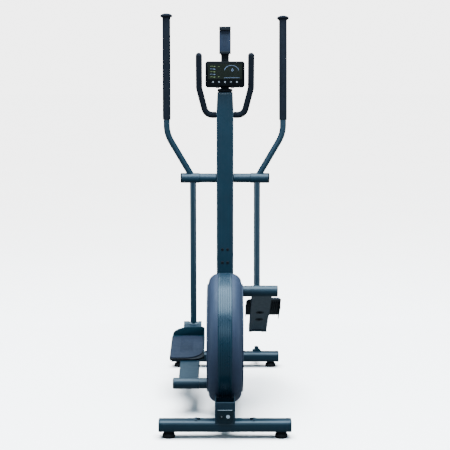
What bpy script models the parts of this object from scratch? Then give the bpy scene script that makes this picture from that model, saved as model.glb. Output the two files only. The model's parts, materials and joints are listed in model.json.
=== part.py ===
"""Elliptical cross trainer, as an assembly of named parts. Metres, +X to the user's right as they
look at the console, +Y towards the machine's front, +Z up. The origin is on the floor, under the
middle of the whole machine."""

import math

import bmesh
import bpy
from mathutils import Matrix, Vector

# ---------------------------------------------------------------- driving dimensions
GAP = 0.0003                # between two pieces that touch
WELD = 0.00001

BASE_SPAN = 1.010           # between the two base tubes
TUBE_LENGTH = 0.520
TUBE_HALF_DEPTH = 0.030
TUBE_HALF_HEIGHT = 0.0235
TUBE_CENTRE_Z = 0.0495
FOOT_X = 0.223
FOOT_RADIUS = 0.0245
ROLLER_RADIUS = 0.026
ROLLER_Z = 0.058
ROLLER_X = 0.155
ROLLER_FORWARD = 0.066      # roller axle in front of the front tube's centre line
COVER_REACH = 0.038         # rear cover plate behind the rear tube's centre line

ROLLER_REACH = ROLLER_FORWARD + ROLLER_RADIUS
REAR_Y = (COVER_REACH - ROLLER_REACH - BASE_SPAN) / 2
FRONT_Y = REAR_Y + BASE_SPAN
TUBE_TOP = TUBE_CENTRE_Z + TUBE_HALF_HEIGHT
FOOT_TOP = TUBE_CENTRE_Z - TUBE_HALF_HEIGHT - GAP

CRANK_Y = REAR_Y + 0.282
CRANK_Z = 0.332
CRANK_RADIUS = 0.198
HOUSING_RADIUS = 0.270
BAND_HALF_WIDTH = 0.028
DISC_RADIUS = 0.2245
DISC_FACE_X = 0.0745
BOSS_RADIUS = 0.0225
BOSS_END_X = 0.1075

MAST_Y = REAR_Y + 0.915
MAST_HALF_WIDTH = 0.0395
MAST_HALF_DEPTH = 0.028
MAST_TOP = 1.338
BEAM_TOP = 0.155

PIVOT_Z = 0.938
PIVOT_LENGTH = 0.707        # handlebar pivot down to the yoke pin
ARM_LENGTH = 0.633          # yoke pin back to the crank pin
LOWER_TUBE_X = 0.150
GRIP_X = 0.272
HANDLE_RADIUS = 0.015
PIN_RADIUS = 0.010
YOKE_PIN_RADIUS = 0.008
BUSH_RADIUS = 0.0235

ARM_LOW_X = 0.112
ARM_HIGH_X = 0.196
ARM_HALF_HEIGHT = 0.015
TRAY_LOW_X = 0.092
TRAY_HIGH_X = 0.244
TRAY_REAR = 0.195           # along the arm from the crank pin
TRAY_FRONT = 0.452
TOE_WALL_HEIGHT = 0.070

FLYWHEEL_RADIUS = 0.098
FLYWHEEL_REACH = 0.150      # flywheel axle to crank axle
FLYWHEEL_ANGLE = math.radians(20)
PULLEY_RADIUS = 0.120
SMALL_PULLEY_RADIUS = 0.024
FLYWHEEL_Y = CRANK_Y + FLYWHEEL_REACH * math.cos(FLYWHEEL_ANGLE)
FLYWHEEL_Z = CRANK_Z + FLYWHEEL_REACH * math.sin(FLYWHEEL_ANGLE)

FIXED_BAR_Z = 1.232
FIXED_BAR_RADIUS = 0.0117
FIXED_GRIP_RADIUS = 0.0148

CONSOLE_Y = MAST_Y - 0.045
CONSOLE_Z = 1.423
CONSOLE_TILT = math.radians(-15)
CONSOLE_HALF_WIDTH = 0.0905
CONSOLE_HALF_HEIGHT = 0.059
CONSOLE_DEPTH = 0.030
KEY_SPACING = 0.0272
KEY_RADIUS = 0.0060
KEY_HEIGHT = -0.040

PHONE_HALF_WIDTH = 0.0268
PHONE_LOW = 1.512
PHONE_HIGH = 1.6365

LEFT, RIGHT = -1, 1
SIDE_NAMES = {LEFT: "left", RIGHT: "right"}

# ---------------------------------------------------------------- scene and materials
for old in list(bpy.data.objects):
    bpy.data.objects.remove(old)

trainer = bpy.data.collections.new("elliptical_trainer")
bpy.context.scene.collection.children.link(trainer)


def finish(name, colour, roughness, metallic):
    made = bpy.data.materials.new(name)
    made.use_nodes = True
    shader = made.node_tree.nodes["Principled BSDF"]
    shader.inputs["Base Color"].default_value = (*colour, 1)
    shader.inputs["Roughness"].default_value = roughness
    shader.inputs["Metallic"].default_value = metallic
    made.diffuse_color = (*colour, 1)
    return made


TEAL = finish("teal_paint", (0.016, 0.062, 0.095), 0.32, 0.35)
SLATE = finish("slate_plastic", (0.085, 0.120, 0.200), 0.50, 0.0)
NAVY_FOAM = finish("navy_foam", (0.018, 0.023, 0.040), 0.85, 0.0)
BLACK_GLOSS = finish("black_gloss", (0.004, 0.004, 0.005), 0.15, 0.0)
BLACK_PLASTIC = finish("black_plastic", (0.012, 0.013, 0.016), 0.50, 0.0)
RUBBER = finish("black_rubber", (0.010, 0.010, 0.011), 0.80, 0.0)
STEEL = finish("bright_steel", (0.55, 0.56, 0.58), 0.30, 1.0)
IRON = finish("flywheel_iron", (0.20, 0.20, 0.21), 0.45, 1.0)
SCREEN = finish("screen", (0.018, 0.022, 0.020), 0.12, 0.0)


# ---------------------------------------------------------------- modelling helpers
def mesh_object(bm, name="piece"):
    mesh = bpy.data.meshes.new(name)
    bm.to_mesh(mesh)
    bm.free()
    made = bpy.data.objects.new(name, mesh)
    trainer.objects.link(made)
    return made


def settled(obj):
    """The object with its modifiers applied, as a welded mesh with its faces pointing out."""
    bpy.context.view_layer.update()
    graph = bpy.context.evaluated_depsgraph_get()
    mesh = bpy.data.meshes.new_from_object(obj.evaluated_get(graph))
    mesh.transform(obj.matrix_world)
    bpy.data.objects.remove(obj)
    bm = bmesh.new()
    bm.from_mesh(mesh)
    bmesh.ops.remove_doubles(bm, verts=bm.verts, dist=WELD)
    bmesh.ops.recalc_face_normals(bm, faces=bm.faces)
    return mesh_object(bm)


def joined(base, others, operation):
    for other in others:
        modifier = base.modifiers.new("join", "BOOLEAN")
        modifier.operation = operation
        modifier.object = other
    made = settled(base)
    for other in others:
        bpy.data.objects.remove(other)
    return made


def union(base, *others):
    return joined(base, others, "UNION")


def cut(base, *cutters):
    return joined(base, cutters, "DIFFERENCE")


def block(low, high, bevel=0.0):
    """A box between two corners, with its edges rounded."""
    low, high = Vector(low), Vector(high)
    bm = bmesh.new()
    bmesh.ops.create_cube(bm, size=1)
    bmesh.ops.scale(bm, vec=high - low, verts=bm.verts)
    bmesh.ops.translate(bm, vec=(low + high) / 2, verts=bm.verts)
    if bevel:
        bmesh.ops.bevel(bm, geom=bm.edges[:], offset=bevel, segments=2, profile=0.5, affect="EDGES")
    return mesh_object(bm)


def rod(start, end, radius, sides=20):
    """A cylinder between two points."""
    start, end = Vector(start), Vector(end)
    bm = bmesh.new()
    bmesh.ops.create_cone(
        bm, cap_ends=True, segments=sides, radius1=radius, radius2=radius, depth=(end - start).length,
    )
    turn = (end - start).to_track_quat("Z", "Y").to_matrix().to_4x4()
    bm.transform(Matrix.Translation((start + end) / 2) @ turn)
    return mesh_object(bm)


def cross_rod(side, low_x, high_x, y, z, radius, sides=20):
    """A cylinder along X on one side of the machine."""
    ends = sorted((side * low_x, side * high_x))
    return rod((ends[0], y, z), (ends[1], y, z), radius, sides)


def turned(profile, y, z, side=1, sides=48):
    """A closed profile of (x, radius) points, turned about the X axis line through (y, z)."""
    bm = bmesh.new()
    corners = [bm.verts.new((radius, 0, x)) for x, radius in profile]
    for index, corner in enumerate(corners):
        bm.edges.new((corner, corners[(index + 1) % len(corners)]))
    made = mesh_object(bm)
    screw = made.modifiers.new("turn", "SCREW")
    screw.steps = screw.render_steps = sides
    screw.use_merge_vertices = True
    screw.merge_threshold = WELD
    made = settled(made)
    quarter_turn = Matrix(((0, 0, side, 0), (0, 1, 0, y), (1, 0, 0, z), (0, 0, 0, 1)))
    made.data.transform(quarter_turn)
    return settled(made)


def upright(profile, x, y, sides=24):
    """A closed profile of (radius, z) points, turned about a vertical line."""
    made = turned([(z, radius) for radius, z in profile], 0, 0, 1, sides)
    made.data.transform(Matrix.Translation((x, y, 0)) @ Matrix.Rotation(math.radians(-90), 4, "Y"))
    return settled(made)


def rounded(points, radius, segments=5):
    """The points of a path whose inner corners are arcs of the given radius."""
    points = [Vector(point) for point in points]
    path = [points[0]]
    for before, corner, after in zip(points, points[1:], points[2:]):
        incoming, outgoing = (before - corner).normalized(), (after - corner).normalized()
        half = incoming.angle(outgoing) / 2
        reach = radius / math.tan(half)
        centre = corner + (incoming + outgoing).normalized() * radius / math.sin(half)
        start = (corner + incoming * reach - centre).normalized()
        end = (corner + outgoing * reach - centre).normalized()
        path += [centre + start.slerp(end, step / segments) * radius for step in range(segments + 1)]
    return path + [points[-1]]


def pipe(path, radius):
    """A round bar with filled ends along a path."""
    data = bpy.data.curves.new("pipe", "CURVE")
    data.dimensions = "3D"
    data.bevel_depth = radius
    data.bevel_resolution = 3
    data.use_fill_caps = True
    spline = data.splines.new("POLY")
    spline.points.add(len(path) - 1)
    for point, place in zip(spline.points, path):
        point.co = (*place, 1)
    made = bpy.data.objects.new("pipe", data)
    trainer.objects.link(made)
    return settled(made)


AXES = {
    "X": Matrix(((0, 0, 1, 0), (1, 0, 0, 0), (0, 1, 0, 0), (0, 0, 0, 1))),
    "Y": Matrix(((1, 0, 0, 0), (0, 0, -1, 0), (0, 1, 0, 0), (0, 0, 0, 1))),
    "Z": Matrix.Identity(4),
}


def plate(outlines, low, high, axis="X"):
    """A flat outline, with any holes after it, from low to high along an axis."""
    data = bpy.data.curves.new("plate", "CURVE")
    data.dimensions = "2D"
    data.fill_mode = "BOTH"
    data.extrude = (high - low) / 2
    for outline in outlines:
        spline = data.splines.new("POLY")
        spline.points.add(len(outline) - 1)
        for point, place in zip(spline.points, outline):
            point.co = (*place, 0, 1)
        spline.use_cyclic_u = True
    made = bpy.data.objects.new("plate", data)
    trainer.objects.link(made)
    middle = (low + high) / 2 * (-1 if axis == "Y" else 1)
    made.matrix_world = AXES[axis] @ Matrix.Translation((0, 0, middle))
    return settled(made)


def round_corners(corners, segments=4):
    """A closed flat outline from (u, v, corner radius) points."""
    outline = []
    count = len(corners)
    for index in range(count):
        before, here, after = corners[index - 1], corners[index], corners[(index + 1) % count]
        if not here[2]:
            outline.append((here[0], here[1]))
            continue
        path = rounded(
            [(before[0], before[1], 0), (here[0], here[1], 0), (after[0], after[1], 0)],
            here[2], segments,
        )
        outline += [(point.x, point.y) for point in path[1:-1]]
    return outline


def section(y, z, half_depth, half_height, corner):
    """The rounded outline of a base tube."""
    signs = ((-1, -1), (1, -1), (1, 1), (-1, 1))
    return round_corners([(y + a * half_depth, z + b * half_height, corner) for a, b in signs])


def part(name, obj, material, origin=None, parent=None):
    """Names a finished piece, and puts its origin on its joint or under its parent."""
    obj.name = obj.data.name = name
    obj.data.materials.append(material)
    obj.data.shade_smooth()
    obj.data.set_sharp_from_angle(angle=math.radians(30))
    if origin is not None:
        obj.data.transform(Matrix.Translation(-Vector(origin)))
        obj.location = origin
    if parent is not None:
        obj.parent = parent
    return obj


def pivot(name, place, turn, parent=None):
    made = bpy.data.objects.new(name, None)
    made.location = place
    made.rotation_euler.x = turn
    made.parent = parent
    trainer.objects.link(made)
    return made


# ---------------------------------------------------------------- base
def base_tube(y, grow=0.0):
    outline = section(y, TUBE_CENTRE_Z, TUBE_HALF_DEPTH + grow, TUBE_HALF_HEIGHT + grow, 0.016 + grow)
    return plate([outline], -TUBE_LENGTH / 2, TUBE_LENGTH / 2)


def roller_stay(x):
    """A gusset that stands on the front tube beside each roller, with a rounded head."""
    outline = round_corners([
        (x - 0.0225, 0.060, 0), (x + 0.0225, 0.060, 0), (x + 0.0225, TUBE_TOP + 0.002, 0.003),
        (x + 0.0100, TUBE_TOP + 0.016, 0), (x + 0.0090, TUBE_TOP + 0.026, 0.005),
        (x - 0.0090, TUBE_TOP + 0.026, 0.005), (x - 0.0100, TUBE_TOP + 0.016, 0),
        (x - 0.0225, TUBE_TOP + 0.002, 0.003)])
    return plate([outline], FRONT_Y + 0.004, FRONT_Y + 0.010, "Y")


def build_base():
    part("rear_stabilizer", base_tube(REAR_Y), TEAL)
    brackets = []
    axle_y = FRONT_Y + ROLLER_FORWARD
    for side in (LEFT, RIGHT):
        for offset in (-0.0165, 0.0165):
            x = side * ROLLER_X + offset
            outline = round_corners([
                (FRONT_Y + 0.020, TUBE_CENTRE_Z - 0.015, 0), (axle_y + 0.008, ROLLER_Z - 0.013, 0.010),
                (axle_y + 0.010, ROLLER_Z + 0.012, 0.010), (FRONT_Y + 0.020, TUBE_CENTRE_Z + 0.017, 0),
            ])
            brackets.append(plate([outline], x - 0.0025, x + 0.0025))
        brackets.append(cross_rod(side, ROLLER_X - 0.018, ROLLER_X + 0.018, axle_y, ROLLER_Z, 0.005, 12))
        brackets.append(roller_stay(side * ROLLER_X))
    part("front_stabilizer", union(base_tube(FRONT_Y), *brackets), TEAL)
    for side in (LEFT, RIGHT):
        roller = turned(
            [(-0.009, 0.0053), (0.009, 0.0053), (0.009, ROLLER_RADIUS - 0.003), (0.006, ROLLER_RADIUS),
             (-0.006, ROLLER_RADIUS), (-0.009, ROLLER_RADIUS - 0.003)], axle_y, ROLLER_Z, 1, 28)
        roller.data.transform(Matrix.Translation((side * ROLLER_X, 0, 0)))
        part(f"{SIDE_NAMES[side]}_roller", roller, RUBBER, (side * ROLLER_X, axle_y, ROLLER_Z))
        for end, y in (("rear", REAR_Y), ("front", FRONT_Y)):
            foot = upright(
                [(0, 0), (0.0225, 0), (FOOT_RADIUS, 0.004), (FOOT_RADIUS, 0.012), (0.018, 0.020),
                 (0.014, FOOT_TOP), (0, FOOT_TOP)], side * FOOT_X, y)
            part(f"{end}_{SIDE_NAMES[side]}_foot", foot, RUBBER, (side * FOOT_X, y, 0))


def housing_cutter():
    return rod((-0.06, CRANK_Y, CRANK_Z), (0.06, CRANK_Y, CRANK_Z), HOUSING_RADIUS + 0.0005, 96)


def build_frame():
    beam = block((-0.035, -0.13, TUBE_TOP + GAP), (0.035, FRONT_Y + 0.020, BEAM_TOP), 0.006)
    part("main_beam", cut(beam, housing_cutter()), TEAL)

    rear_face = REAR_Y - COVER_REACH + 0.0075
    bracket = block((-0.040, rear_face, 0.062), (0.040, REAR_Y + 0.110, 0.152), 0.005)
    channel = block((-0.036, rear_face + 0.004, TUBE_TOP + 0.004), (0.036, REAR_Y + 0.106, 0.160))
    bracket = cut(bracket, channel, housing_cutter(), base_tube(REAR_Y, GAP))
    part("rear_bracket", bracket, TEAL)
    cover = plate(
        [round_corners([(-0.032, 0.067, 0.016), (0.032, 0.067, 0.016), (0.032, 0.123, 0.004),
                        (-0.032, 0.123, 0.004)])],
        REAR_Y - COVER_REACH, rear_face - GAP, "Y")
    bore_x = 0.012
    socket_hole = rod((bore_x, -0.60, 0.096), (bore_x, -0.50, 0.096), 0.0103, 20)
    part("rear_cover", cut(cover, socket_hole), BLACK_PLASTIC)
    y = REAR_Y - COVER_REACH
    socket = cut(
        rod((bore_x, y + 0.0005, 0.096), (bore_x, y + 0.007, 0.096), 0.0100, 20),
        rod((bore_x, y - 0.001, 0.096), (bore_x, y + 0.005, 0.096), 0.0045, 16))
    part("power_socket", socket, BLACK_PLASTIC)

    bm = bmesh.new()
    bmesh.ops.create_cube(bm, size=1)
    bottom = BEAM_TOP + GAP
    bmesh.ops.scale(bm, vec=(2 * MAST_HALF_WIDTH, 2 * MAST_HALF_DEPTH, MAST_TOP - bottom), verts=bm.verts)
    bmesh.ops.translate(bm, vec=(0, MAST_Y, (MAST_TOP + bottom) / 2), verts=bm.verts)
    upright_edges = [e for e in bm.edges if abs(e.verts[0].co.z - e.verts[1].co.z) > 0.5]
    bmesh.ops.bevel(bm, geom=upright_edges, offset=0.008, segments=3, profile=0.5, affect="EDGES")
    taper_start = FIXED_BAR_Z + 0.02
    bmesh.ops.bisect_plane(
        bm, geom=bm.verts[:] + bm.edges[:] + bm.faces[:], plane_co=(0, 0, taper_start),
        plane_no=(0, 0, 1))
    for vertex in bm.verts:
        if vertex.co.z > taper_start + 0.01:
            vertex.co.x *= 0.90
    mast = cut(
        mesh_object(bm),
        rod((-0.06, MAST_Y, PIVOT_Z), (0.06, MAST_Y, PIVOT_Z), PIN_RADIUS + 0.0004, 20),
        rod((-0.06, MAST_Y, FIXED_BAR_Z), (0.06, MAST_Y, FIXED_BAR_Z), FIXED_BAR_RADIUS + 0.0006, 20))
    part("mast", mast, TEAL)
    cap = block((-0.0355, MAST_Y - 0.028, MAST_TOP + GAP), (0.0355, MAST_Y + 0.028, 1.354), 0.007)
    part("mast_cap", cap, BLACK_PLASTIC)

    collar = MAST_HALF_WIDTH + GAP
    axle_profile = [
        (-0.204, 0), (-0.204, PIN_RADIUS), (-0.1186, PIN_RADIUS), (-0.1186, 0.0215), (-collar, 0.0215),
        (-collar, PIN_RADIUS)]
    axle_profile += [(-x, radius) for x, radius in reversed(axle_profile)]
    part("pivot_axle", turned(axle_profile, MAST_Y, PIVOT_Z, 1, 24), TEAL)


# ---------------------------------------------------------------- fixed handlebar
def fixed_path(first_x, last_z, side):
    """Half of the fixed bar, from beside the mast out and up to its end."""
    lean = -0.045
    corners = [
        (first_x, MAST_Y, FIXED_BAR_Z), (0.088, MAST_Y, FIXED_BAR_Z),
        (0.120, MAST_Y + lean * 0.45, 1.357), (0.120, MAST_Y + lean, last_z)]
    path = [corners[0]] + list(rounded(corners, 0.038, 5))[1:]
    return [Vector((side * p[0], p[1], p[2])) for p in path]


def build_fixed_handlebar():
    left, right = (fixed_path(0.04, 1.508, side) for side in (LEFT, RIGHT))
    bar = pipe(list(reversed(left)) + right, FIXED_BAR_RADIUS)
    part("fixed_handlebar", bar, TEAL)
    for side in (LEFT, RIGHT):
        sleeve = pipe(fixed_path(0.041, 1.516, side), FIXED_GRIP_RADIUS)
        tunnel_path = [Vector((0, MAST_Y, FIXED_BAR_Z))] + fixed_path(0.041, 1.5085, side)
        tunnel = pipe(tunnel_path, FIXED_BAR_RADIUS + 0.0011)
        part(f"fixed_grip_{SIDE_NAMES[side]}", cut(sleeve, tunnel), NAVY_FOAM)


# ---------------------------------------------------------------- console
def build_console():
    mount = pivot("console_mount", (0, CONSOLE_Y, CONSOLE_Z), CONSOLE_TILT)
    keys_x = [(index - 2) * KEY_SPACING for index in range(5)]
    outline = round_corners([
        (a * CONSOLE_HALF_WIDTH, b * CONSOLE_HALF_HEIGHT, 0.0115)
        for a, b in ((-1, -1), (1, -1), (1, 1), (-1, 1))])
    body = plate([outline], 0, CONSOLE_DEPTH, "Y")
    pockets = [rod((x, -0.01, KEY_HEIGHT), (x, 0.007, KEY_HEIGHT), KEY_RADIUS + 0.0006, 16) for x in keys_x]
    screen_pocket = block((-0.0785, -0.01, -0.0275), (0.0785, 0.003, 0.0465))
    part("console_housing", cut(body, screen_pocket, *pockets), BLACK_GLOSS, None, mount)
    display = block((-0.0780, 0.0004, -0.0270), (0.0780, 0.003 - GAP, 0.0460))
    part("console_display", display, SCREEN, None, mount)
    for index, x in enumerate(keys_x):
        key = rod((x, -0.0012, KEY_HEIGHT), (x, 0.0050, KEY_HEIGHT), KEY_RADIUS, 16)
        part(f"key_{index + 1}", key, BLACK_PLASTIC, (x, 0, KEY_HEIGHT), mount)
    neck = plate(
        [[(MAST_Y - 0.0295, 1.354 + GAP), (MAST_Y + 0.018, 1.354 + GAP), (MAST_Y + 0.018, 1.450),
          (MAST_Y - 0.0050, 1.450)]], -0.020, 0.020)
    part("console_neck", neck, BLACK_PLASTIC)


def build_phone_holder():
    front = MAST_Y + 0.0012
    stem = block((-0.0183, front, 1.450 + GAP), (0.0183, front + 0.014, PHONE_LOW - GAP), 0.003)
    part("phone_stem", stem, BLACK_PLASTIC)
    width = PHONE_HALF_WIDTH
    body = block((-width, front - 0.004, PHONE_LOW), (width, front + 0.012, 1.618), 0.003)
    lower_jaw = block((-width, front - 0.026, PHONE_LOW), (width, front + 0.004, PHONE_LOW + 0.013), 0.003)
    part("phone_cradle", union(body, lower_jaw), SLATE)
    upper_jaw = block((-width, front - 0.026, 1.6185), (width, front + 0.0165, PHONE_HIGH), 0.003)
    tongue = block((-0.012, front + 0.0125, 1.545), (0.012, front + 0.0165, 1.6275))
    part("phone_jaw", union(upper_jaw, tongue), BLACK_PLASTIC, (0, front, 1.6185))


# ---------------------------------------------------------------- disc housing and drive
def build_housing():
    inner = HOUSING_RADIUS - 0.0045
    band = [
        (-BAND_HALF_WIDTH, inner), (BAND_HALF_WIDTH, inner), (BAND_HALF_WIDTH, HOUSING_RADIUS - 0.002),
        (BAND_HALF_WIDTH - 0.002, HOUSING_RADIUS), (0.002 - BAND_HALF_WIDTH, HOUSING_RADIUS),
        (-BAND_HALF_WIDTH, HOUSING_RADIUS - 0.002)]
    part("rim_band", turned(band, CRANK_Y, CRANK_Z, 1, 56), TEAL)
    start = BAND_HALF_WIDTH + GAP
    shell = [
        (start, 0.2670), (0.040, 0.2655), (0.052, 0.2590), (0.062, 0.2490), (0.0690, 0.2360),
        (0.0710, 0.2275), (0.0500, 0.2265), (0.0500, 0.0320), (0.0475, 0.0320), (0.0475, 0.2300),
        (0.0620, 0.2400), (0.0500, 0.2560), (start, 0.2630)]
    for side in (LEFT, RIGHT):
        made = turned(shell, CRANK_Y, CRANK_Z, side, 44)
        part(f"{SIDE_NAMES[side]}_shell", made, SLATE)


def around(centre, distance, degrees):
    """A (y, z) place at a distance and angle from another."""
    turn = math.radians(degrees)
    return centre[0] + distance * math.cos(turn), centre[1] + distance * math.sin(turn)


MAGNET_PIN = around((FLYWHEEL_Y, FLYWHEEL_Z), FLYWHEEL_RADIUS + 0.0145, 118)


def build_drive():
    centre = (CRANK_Y, CRANK_Z)
    wheel = (FLYWHEEL_Y, FLYWHEEL_Z)
    web = rod((-0.004, *centre), (0.004, *centre), 0.175, 40)
    foot = block((-0.004, CRANK_Y - 0.06, CRANK_Z - 0.264), (0.004, CRANK_Y + 0.06, CRANK_Z - 0.10))
    hub = rod((-0.026, *centre), (0.026, *centre), 0.035, 24)
    wheel_hub = rod((-0.014, *wheel), (0.014, *wheel), 0.018, 20)
    ear = rod((-0.004, *MAGNET_PIN), (0.004, *MAGNET_PIN), 0.022, 20)
    stud = rod((0.0, *MAGNET_PIN), (0.0462, *MAGNET_PIN), 0.005, 12)
    limit = rod((-0.05, *centre), (0.05, *centre), 0.2648, 64)
    foot = joined(foot, [limit], "INTERSECT")
    carrier = union(web, foot, hub, wheel_hub, ear, stud)
    carrier = cut(
        carrier, rod((-0.03, *centre), (0.03, *centre), 0.0263, 24),
        rod((-0.03, *wheel), (0.03, *wheel), 0.0084, 16))
    part("axle_carrier", carrier, STEEL)
    for side in (LEFT, RIGHT):
        ring = turned(
            [(0.012, PIN_RADIUS + 0.0005), (0.024, PIN_RADIUS + 0.0005), (0.024, 0.0258), (0.012, 0.0258)],
            *centre, side, 24)
        part(f"{SIDE_NAMES[side]}_bearing", ring, STEEL)
    part("crank_axle", rod((-0.0640, *centre), (0.0640, *centre), PIN_RADIUS, 20), STEEL, (0, *centre))
    groove = PULLEY_RADIUS
    pulley = turned(
        [(-0.0470, 0.0104), (-0.0300, 0.0104), (-0.0300, 0.028), (-0.0310, groove + 0.003),
         (-0.0325, groove + 0.003), (-0.0325, groove), (-0.0435, groove), (-0.0435, groove + 0.003),
         (-0.0450, groove + 0.003), (-0.0450, 0.028)], *centre, 1, 36)
    part("drive_pulley", pulley, BLACK_PLASTIC, (0, *centre))
    flywheel = turned(
        [(0.0300, 0.0084), (0.0460, 0.0084), (0.0460, 0.020), (0.0410, 0.026), (0.0410, 0.070),
         (0.0460, 0.076), (0.0460, FLYWHEEL_RADIUS), (0.0300, FLYWHEEL_RADIUS)], *wheel, 1, 36)
    part("flywheel", flywheel, IRON, (0, *wheel))
    small = SMALL_PULLEY_RADIUS
    axle = turned(
        [(-0.0455, 0), (-0.0455, small + 0.002), (-0.0440, small + 0.002), (-0.0440, small),
         (-0.0325, small), (-0.0325, small + 0.002), (-0.0310, small + 0.002), (-0.0310, 0.0080),
         (0.0470, 0.0080), (0.0470, 0)], *wheel, 1, 24)
    part("flywheel_axle", axle, STEEL, (0, *wheel))
    part("drive_belt", build_belt(), RUBBER)

    inner = [around(wheel, FLYWHEEL_RADIUS + 0.0035, 54 + 8 * step) for step in range(9)]
    outer = [around(wheel, FLYWHEEL_RADIUS + 0.0140, 54 + 8 * step) for step in range(9)]
    shoe = plate([inner + outer[::-1]], 0.0310, 0.0450)
    ring = rod((0.0305, *MAGNET_PIN), (0.0455, *MAGNET_PIN), 0.0105, 16)
    arm = cut(union(shoe, ring), rod((0.02, *MAGNET_PIN), (0.06, *MAGNET_PIN), 0.0056, 16))
    part("magnet_bracket", arm, STEEL, (0.038, *MAGNET_PIN))
    y, z = around(centre, 0.120, 140)
    motor = block((0.0043, y - 0.028, z - 0.022), (0.040, y + 0.028, z + 0.022), 0.003)
    part("brake_motor", motor, BLACK_PLASTIC)


def build_belt():
    """A flat belt round the two pulleys: two arcs joined by their outer tangents."""
    outlines = []
    for extra in (0.0034, 0.0004):
        large, small = PULLEY_RADIUS + extra, SMALL_PULLEY_RADIUS + extra
        wrap = math.acos((large - small) / FLYWHEEL_REACH)
        outline = []
        for step in range(33):
            turn = FLYWHEEL_ANGLE + wrap + (2 * math.pi - 2 * wrap) * step / 32
            outline.append((CRANK_Y + large * math.cos(turn), CRANK_Z + large * math.sin(turn)))
        for step in range(11):
            turn = FLYWHEEL_ANGLE - wrap + 2 * wrap * step / 10
            outline.append((FLYWHEEL_Y + small * math.cos(turn), FLYWHEEL_Z + small * math.sin(turn)))
        outlines.append(outline)
    return plate(outlines, -0.0430, -0.0330)


def build_crank(side):
    """A steel crank with its boss, and the round cover disc that turns with it."""
    name = SIDE_NAMES[side]
    pin_z = CRANK_Z + side * CRANK_RADIUS
    low, high = sorted((CRANK_Z, pin_z))
    xs = sorted((side * 0.0540, side * 0.0640))
    arm = block((xs[0], CRANK_Y - 0.020, low), (xs[1], CRANK_Y + 0.020, high), 0.002)
    hub = cross_rod(side, 0.0512, 0.0652, CRANK_Y, CRANK_Z, 0.024, 24)
    boss = cross_rod(side, 0.0540, BOSS_END_X, CRANK_Y, pin_z, BOSS_RADIUS, 24)
    bore = cross_rod(side, 0.0450, 0.0700, CRANK_Y, CRANK_Z, PIN_RADIUS + 0.0004, 20)
    axle_place = (0, CRANK_Y, CRANK_Z)
    part(f"{name}_crank", cut(union(arm, hub, boss), bore), TEAL, axle_place)
    disc = turned(
        [(0.0656, 0), (DISC_FACE_X, 0), (DISC_FACE_X, 0.2200), (0.0735, 0.2235), (0.0715, DISC_RADIUS),
         (0.0656, DISC_RADIUS)], CRANK_Y, CRANK_Z, side, 64)
    hole = cross_rod(side, 0.0600, 0.0800, CRANK_Y, pin_z, BOSS_RADIUS + 0.0006, 24)
    part(f"{name}_crank_disc", cut(disc, hole), SLATE, axle_place)


# ---------------------------------------------------------------- the two linkages
def linkage(side):
    """Angles about X of the handlebar and of the pedal arm that close the linkage at rest."""
    pin = Vector((CRANK_Y, CRANK_Z + side * CRANK_RADIUS))
    to_pivot = Vector((MAST_Y, PIVOT_Z)) - pin
    distance = to_pivot.length
    along = to_pivot / distance
    across = Vector((along.y, -along.x))
    reach = (distance**2 + ARM_LENGTH**2 - PIVOT_LENGTH**2) / (2 * distance)
    yoke = pin + along * reach + across * math.sqrt(ARM_LENGTH**2 - reach**2)
    handlebar_turn = math.atan2(yoke.x - MAST_Y, PIVOT_Z - yoke.y)
    arm_turn = math.atan2(yoke.y - pin.y, yoke.x - pin.x)
    return yoke, handlebar_turn, arm_turn


def build_handlebar(side, turn):
    """Built round its own pivot, hanging straight down, then turned to its rest angle."""
    name = SIDE_NAMES[side]
    hinge = pivot(f"{name}_handlebar_pivot", (0, MAST_Y, PIVOT_Z), turn)
    lower = pipe([Vector((side * LOWER_TUBE_X, 0, -0.010)),
                  Vector((side * LOWER_TUBE_X, 0, 0.008 - PIVOT_LENGTH))], HANDLE_RADIUS)
    grip_low, grip_high, lean = 0.272, 0.745, 0.045
    upper = pipe(rounded([
        (side * 0.156, 0, 0.010), (side * GRIP_X, 0, 0.207), (side * GRIP_X, lean, grip_high)],
        0.150, 6), HANDLE_RADIUS)
    bush = cross_rod(side, 0.1190, 0.2020, 0, 0, BUSH_RADIUS, 24)
    yoke_bush = cross_rod(side, 0.1272, 0.1708, 0, -PIVOT_LENGTH, 0.018, 20)
    bar = union(bush, lower, upper, yoke_bush)
    bar = cut(
        bar, cross_rod(side, 0.10, 0.23, 0, 0, PIN_RADIUS + 0.0005, 20),
        cross_rod(side, 0.11, 0.19, 0, -PIVOT_LENGTH, YOKE_PIN_RADIUS + 0.0005, 16))
    part(f"{name}_handlebar", bar, TEAL, None, hinge)

    span = Vector((0, lean, grip_high - 0.207))
    start = Vector((side * GRIP_X, 0, 0.207)) + span * (grip_low - 0.207) / span.z
    length = (Vector((side * GRIP_X, lean, grip_high)) - start).length
    bore = HANDLE_RADIUS + 0.0005
    grip = upright(
        [(bore, 0), (0.0174, 0), (0.0182, 0.004), (0.0182, length - 0.012), (0.0200, length - 0.004),
         (0.0275, length + 0.003), (0.0280, length + 0.006), (0.0240, length + 0.011),
         (0.0120, length + 0.0155), (0, length + 0.0165), (0, length + 0.0005),
         (bore, length + 0.0005)], 0, 0, 24)
    grip.data.transform(Matrix.Translation(start) @ span.to_track_quat("Z", "Y").to_matrix().to_4x4())
    part(f"{name}_grip", grip, NAVY_FOAM, None, hinge)


def mirrored_plate(side, outline, low, high):
    """An outline of (distance out from the middle, z) points across the machine, thick along Y."""
    return plate([[(side * x, z) for x, z in outline]], low, high, "Y")


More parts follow.
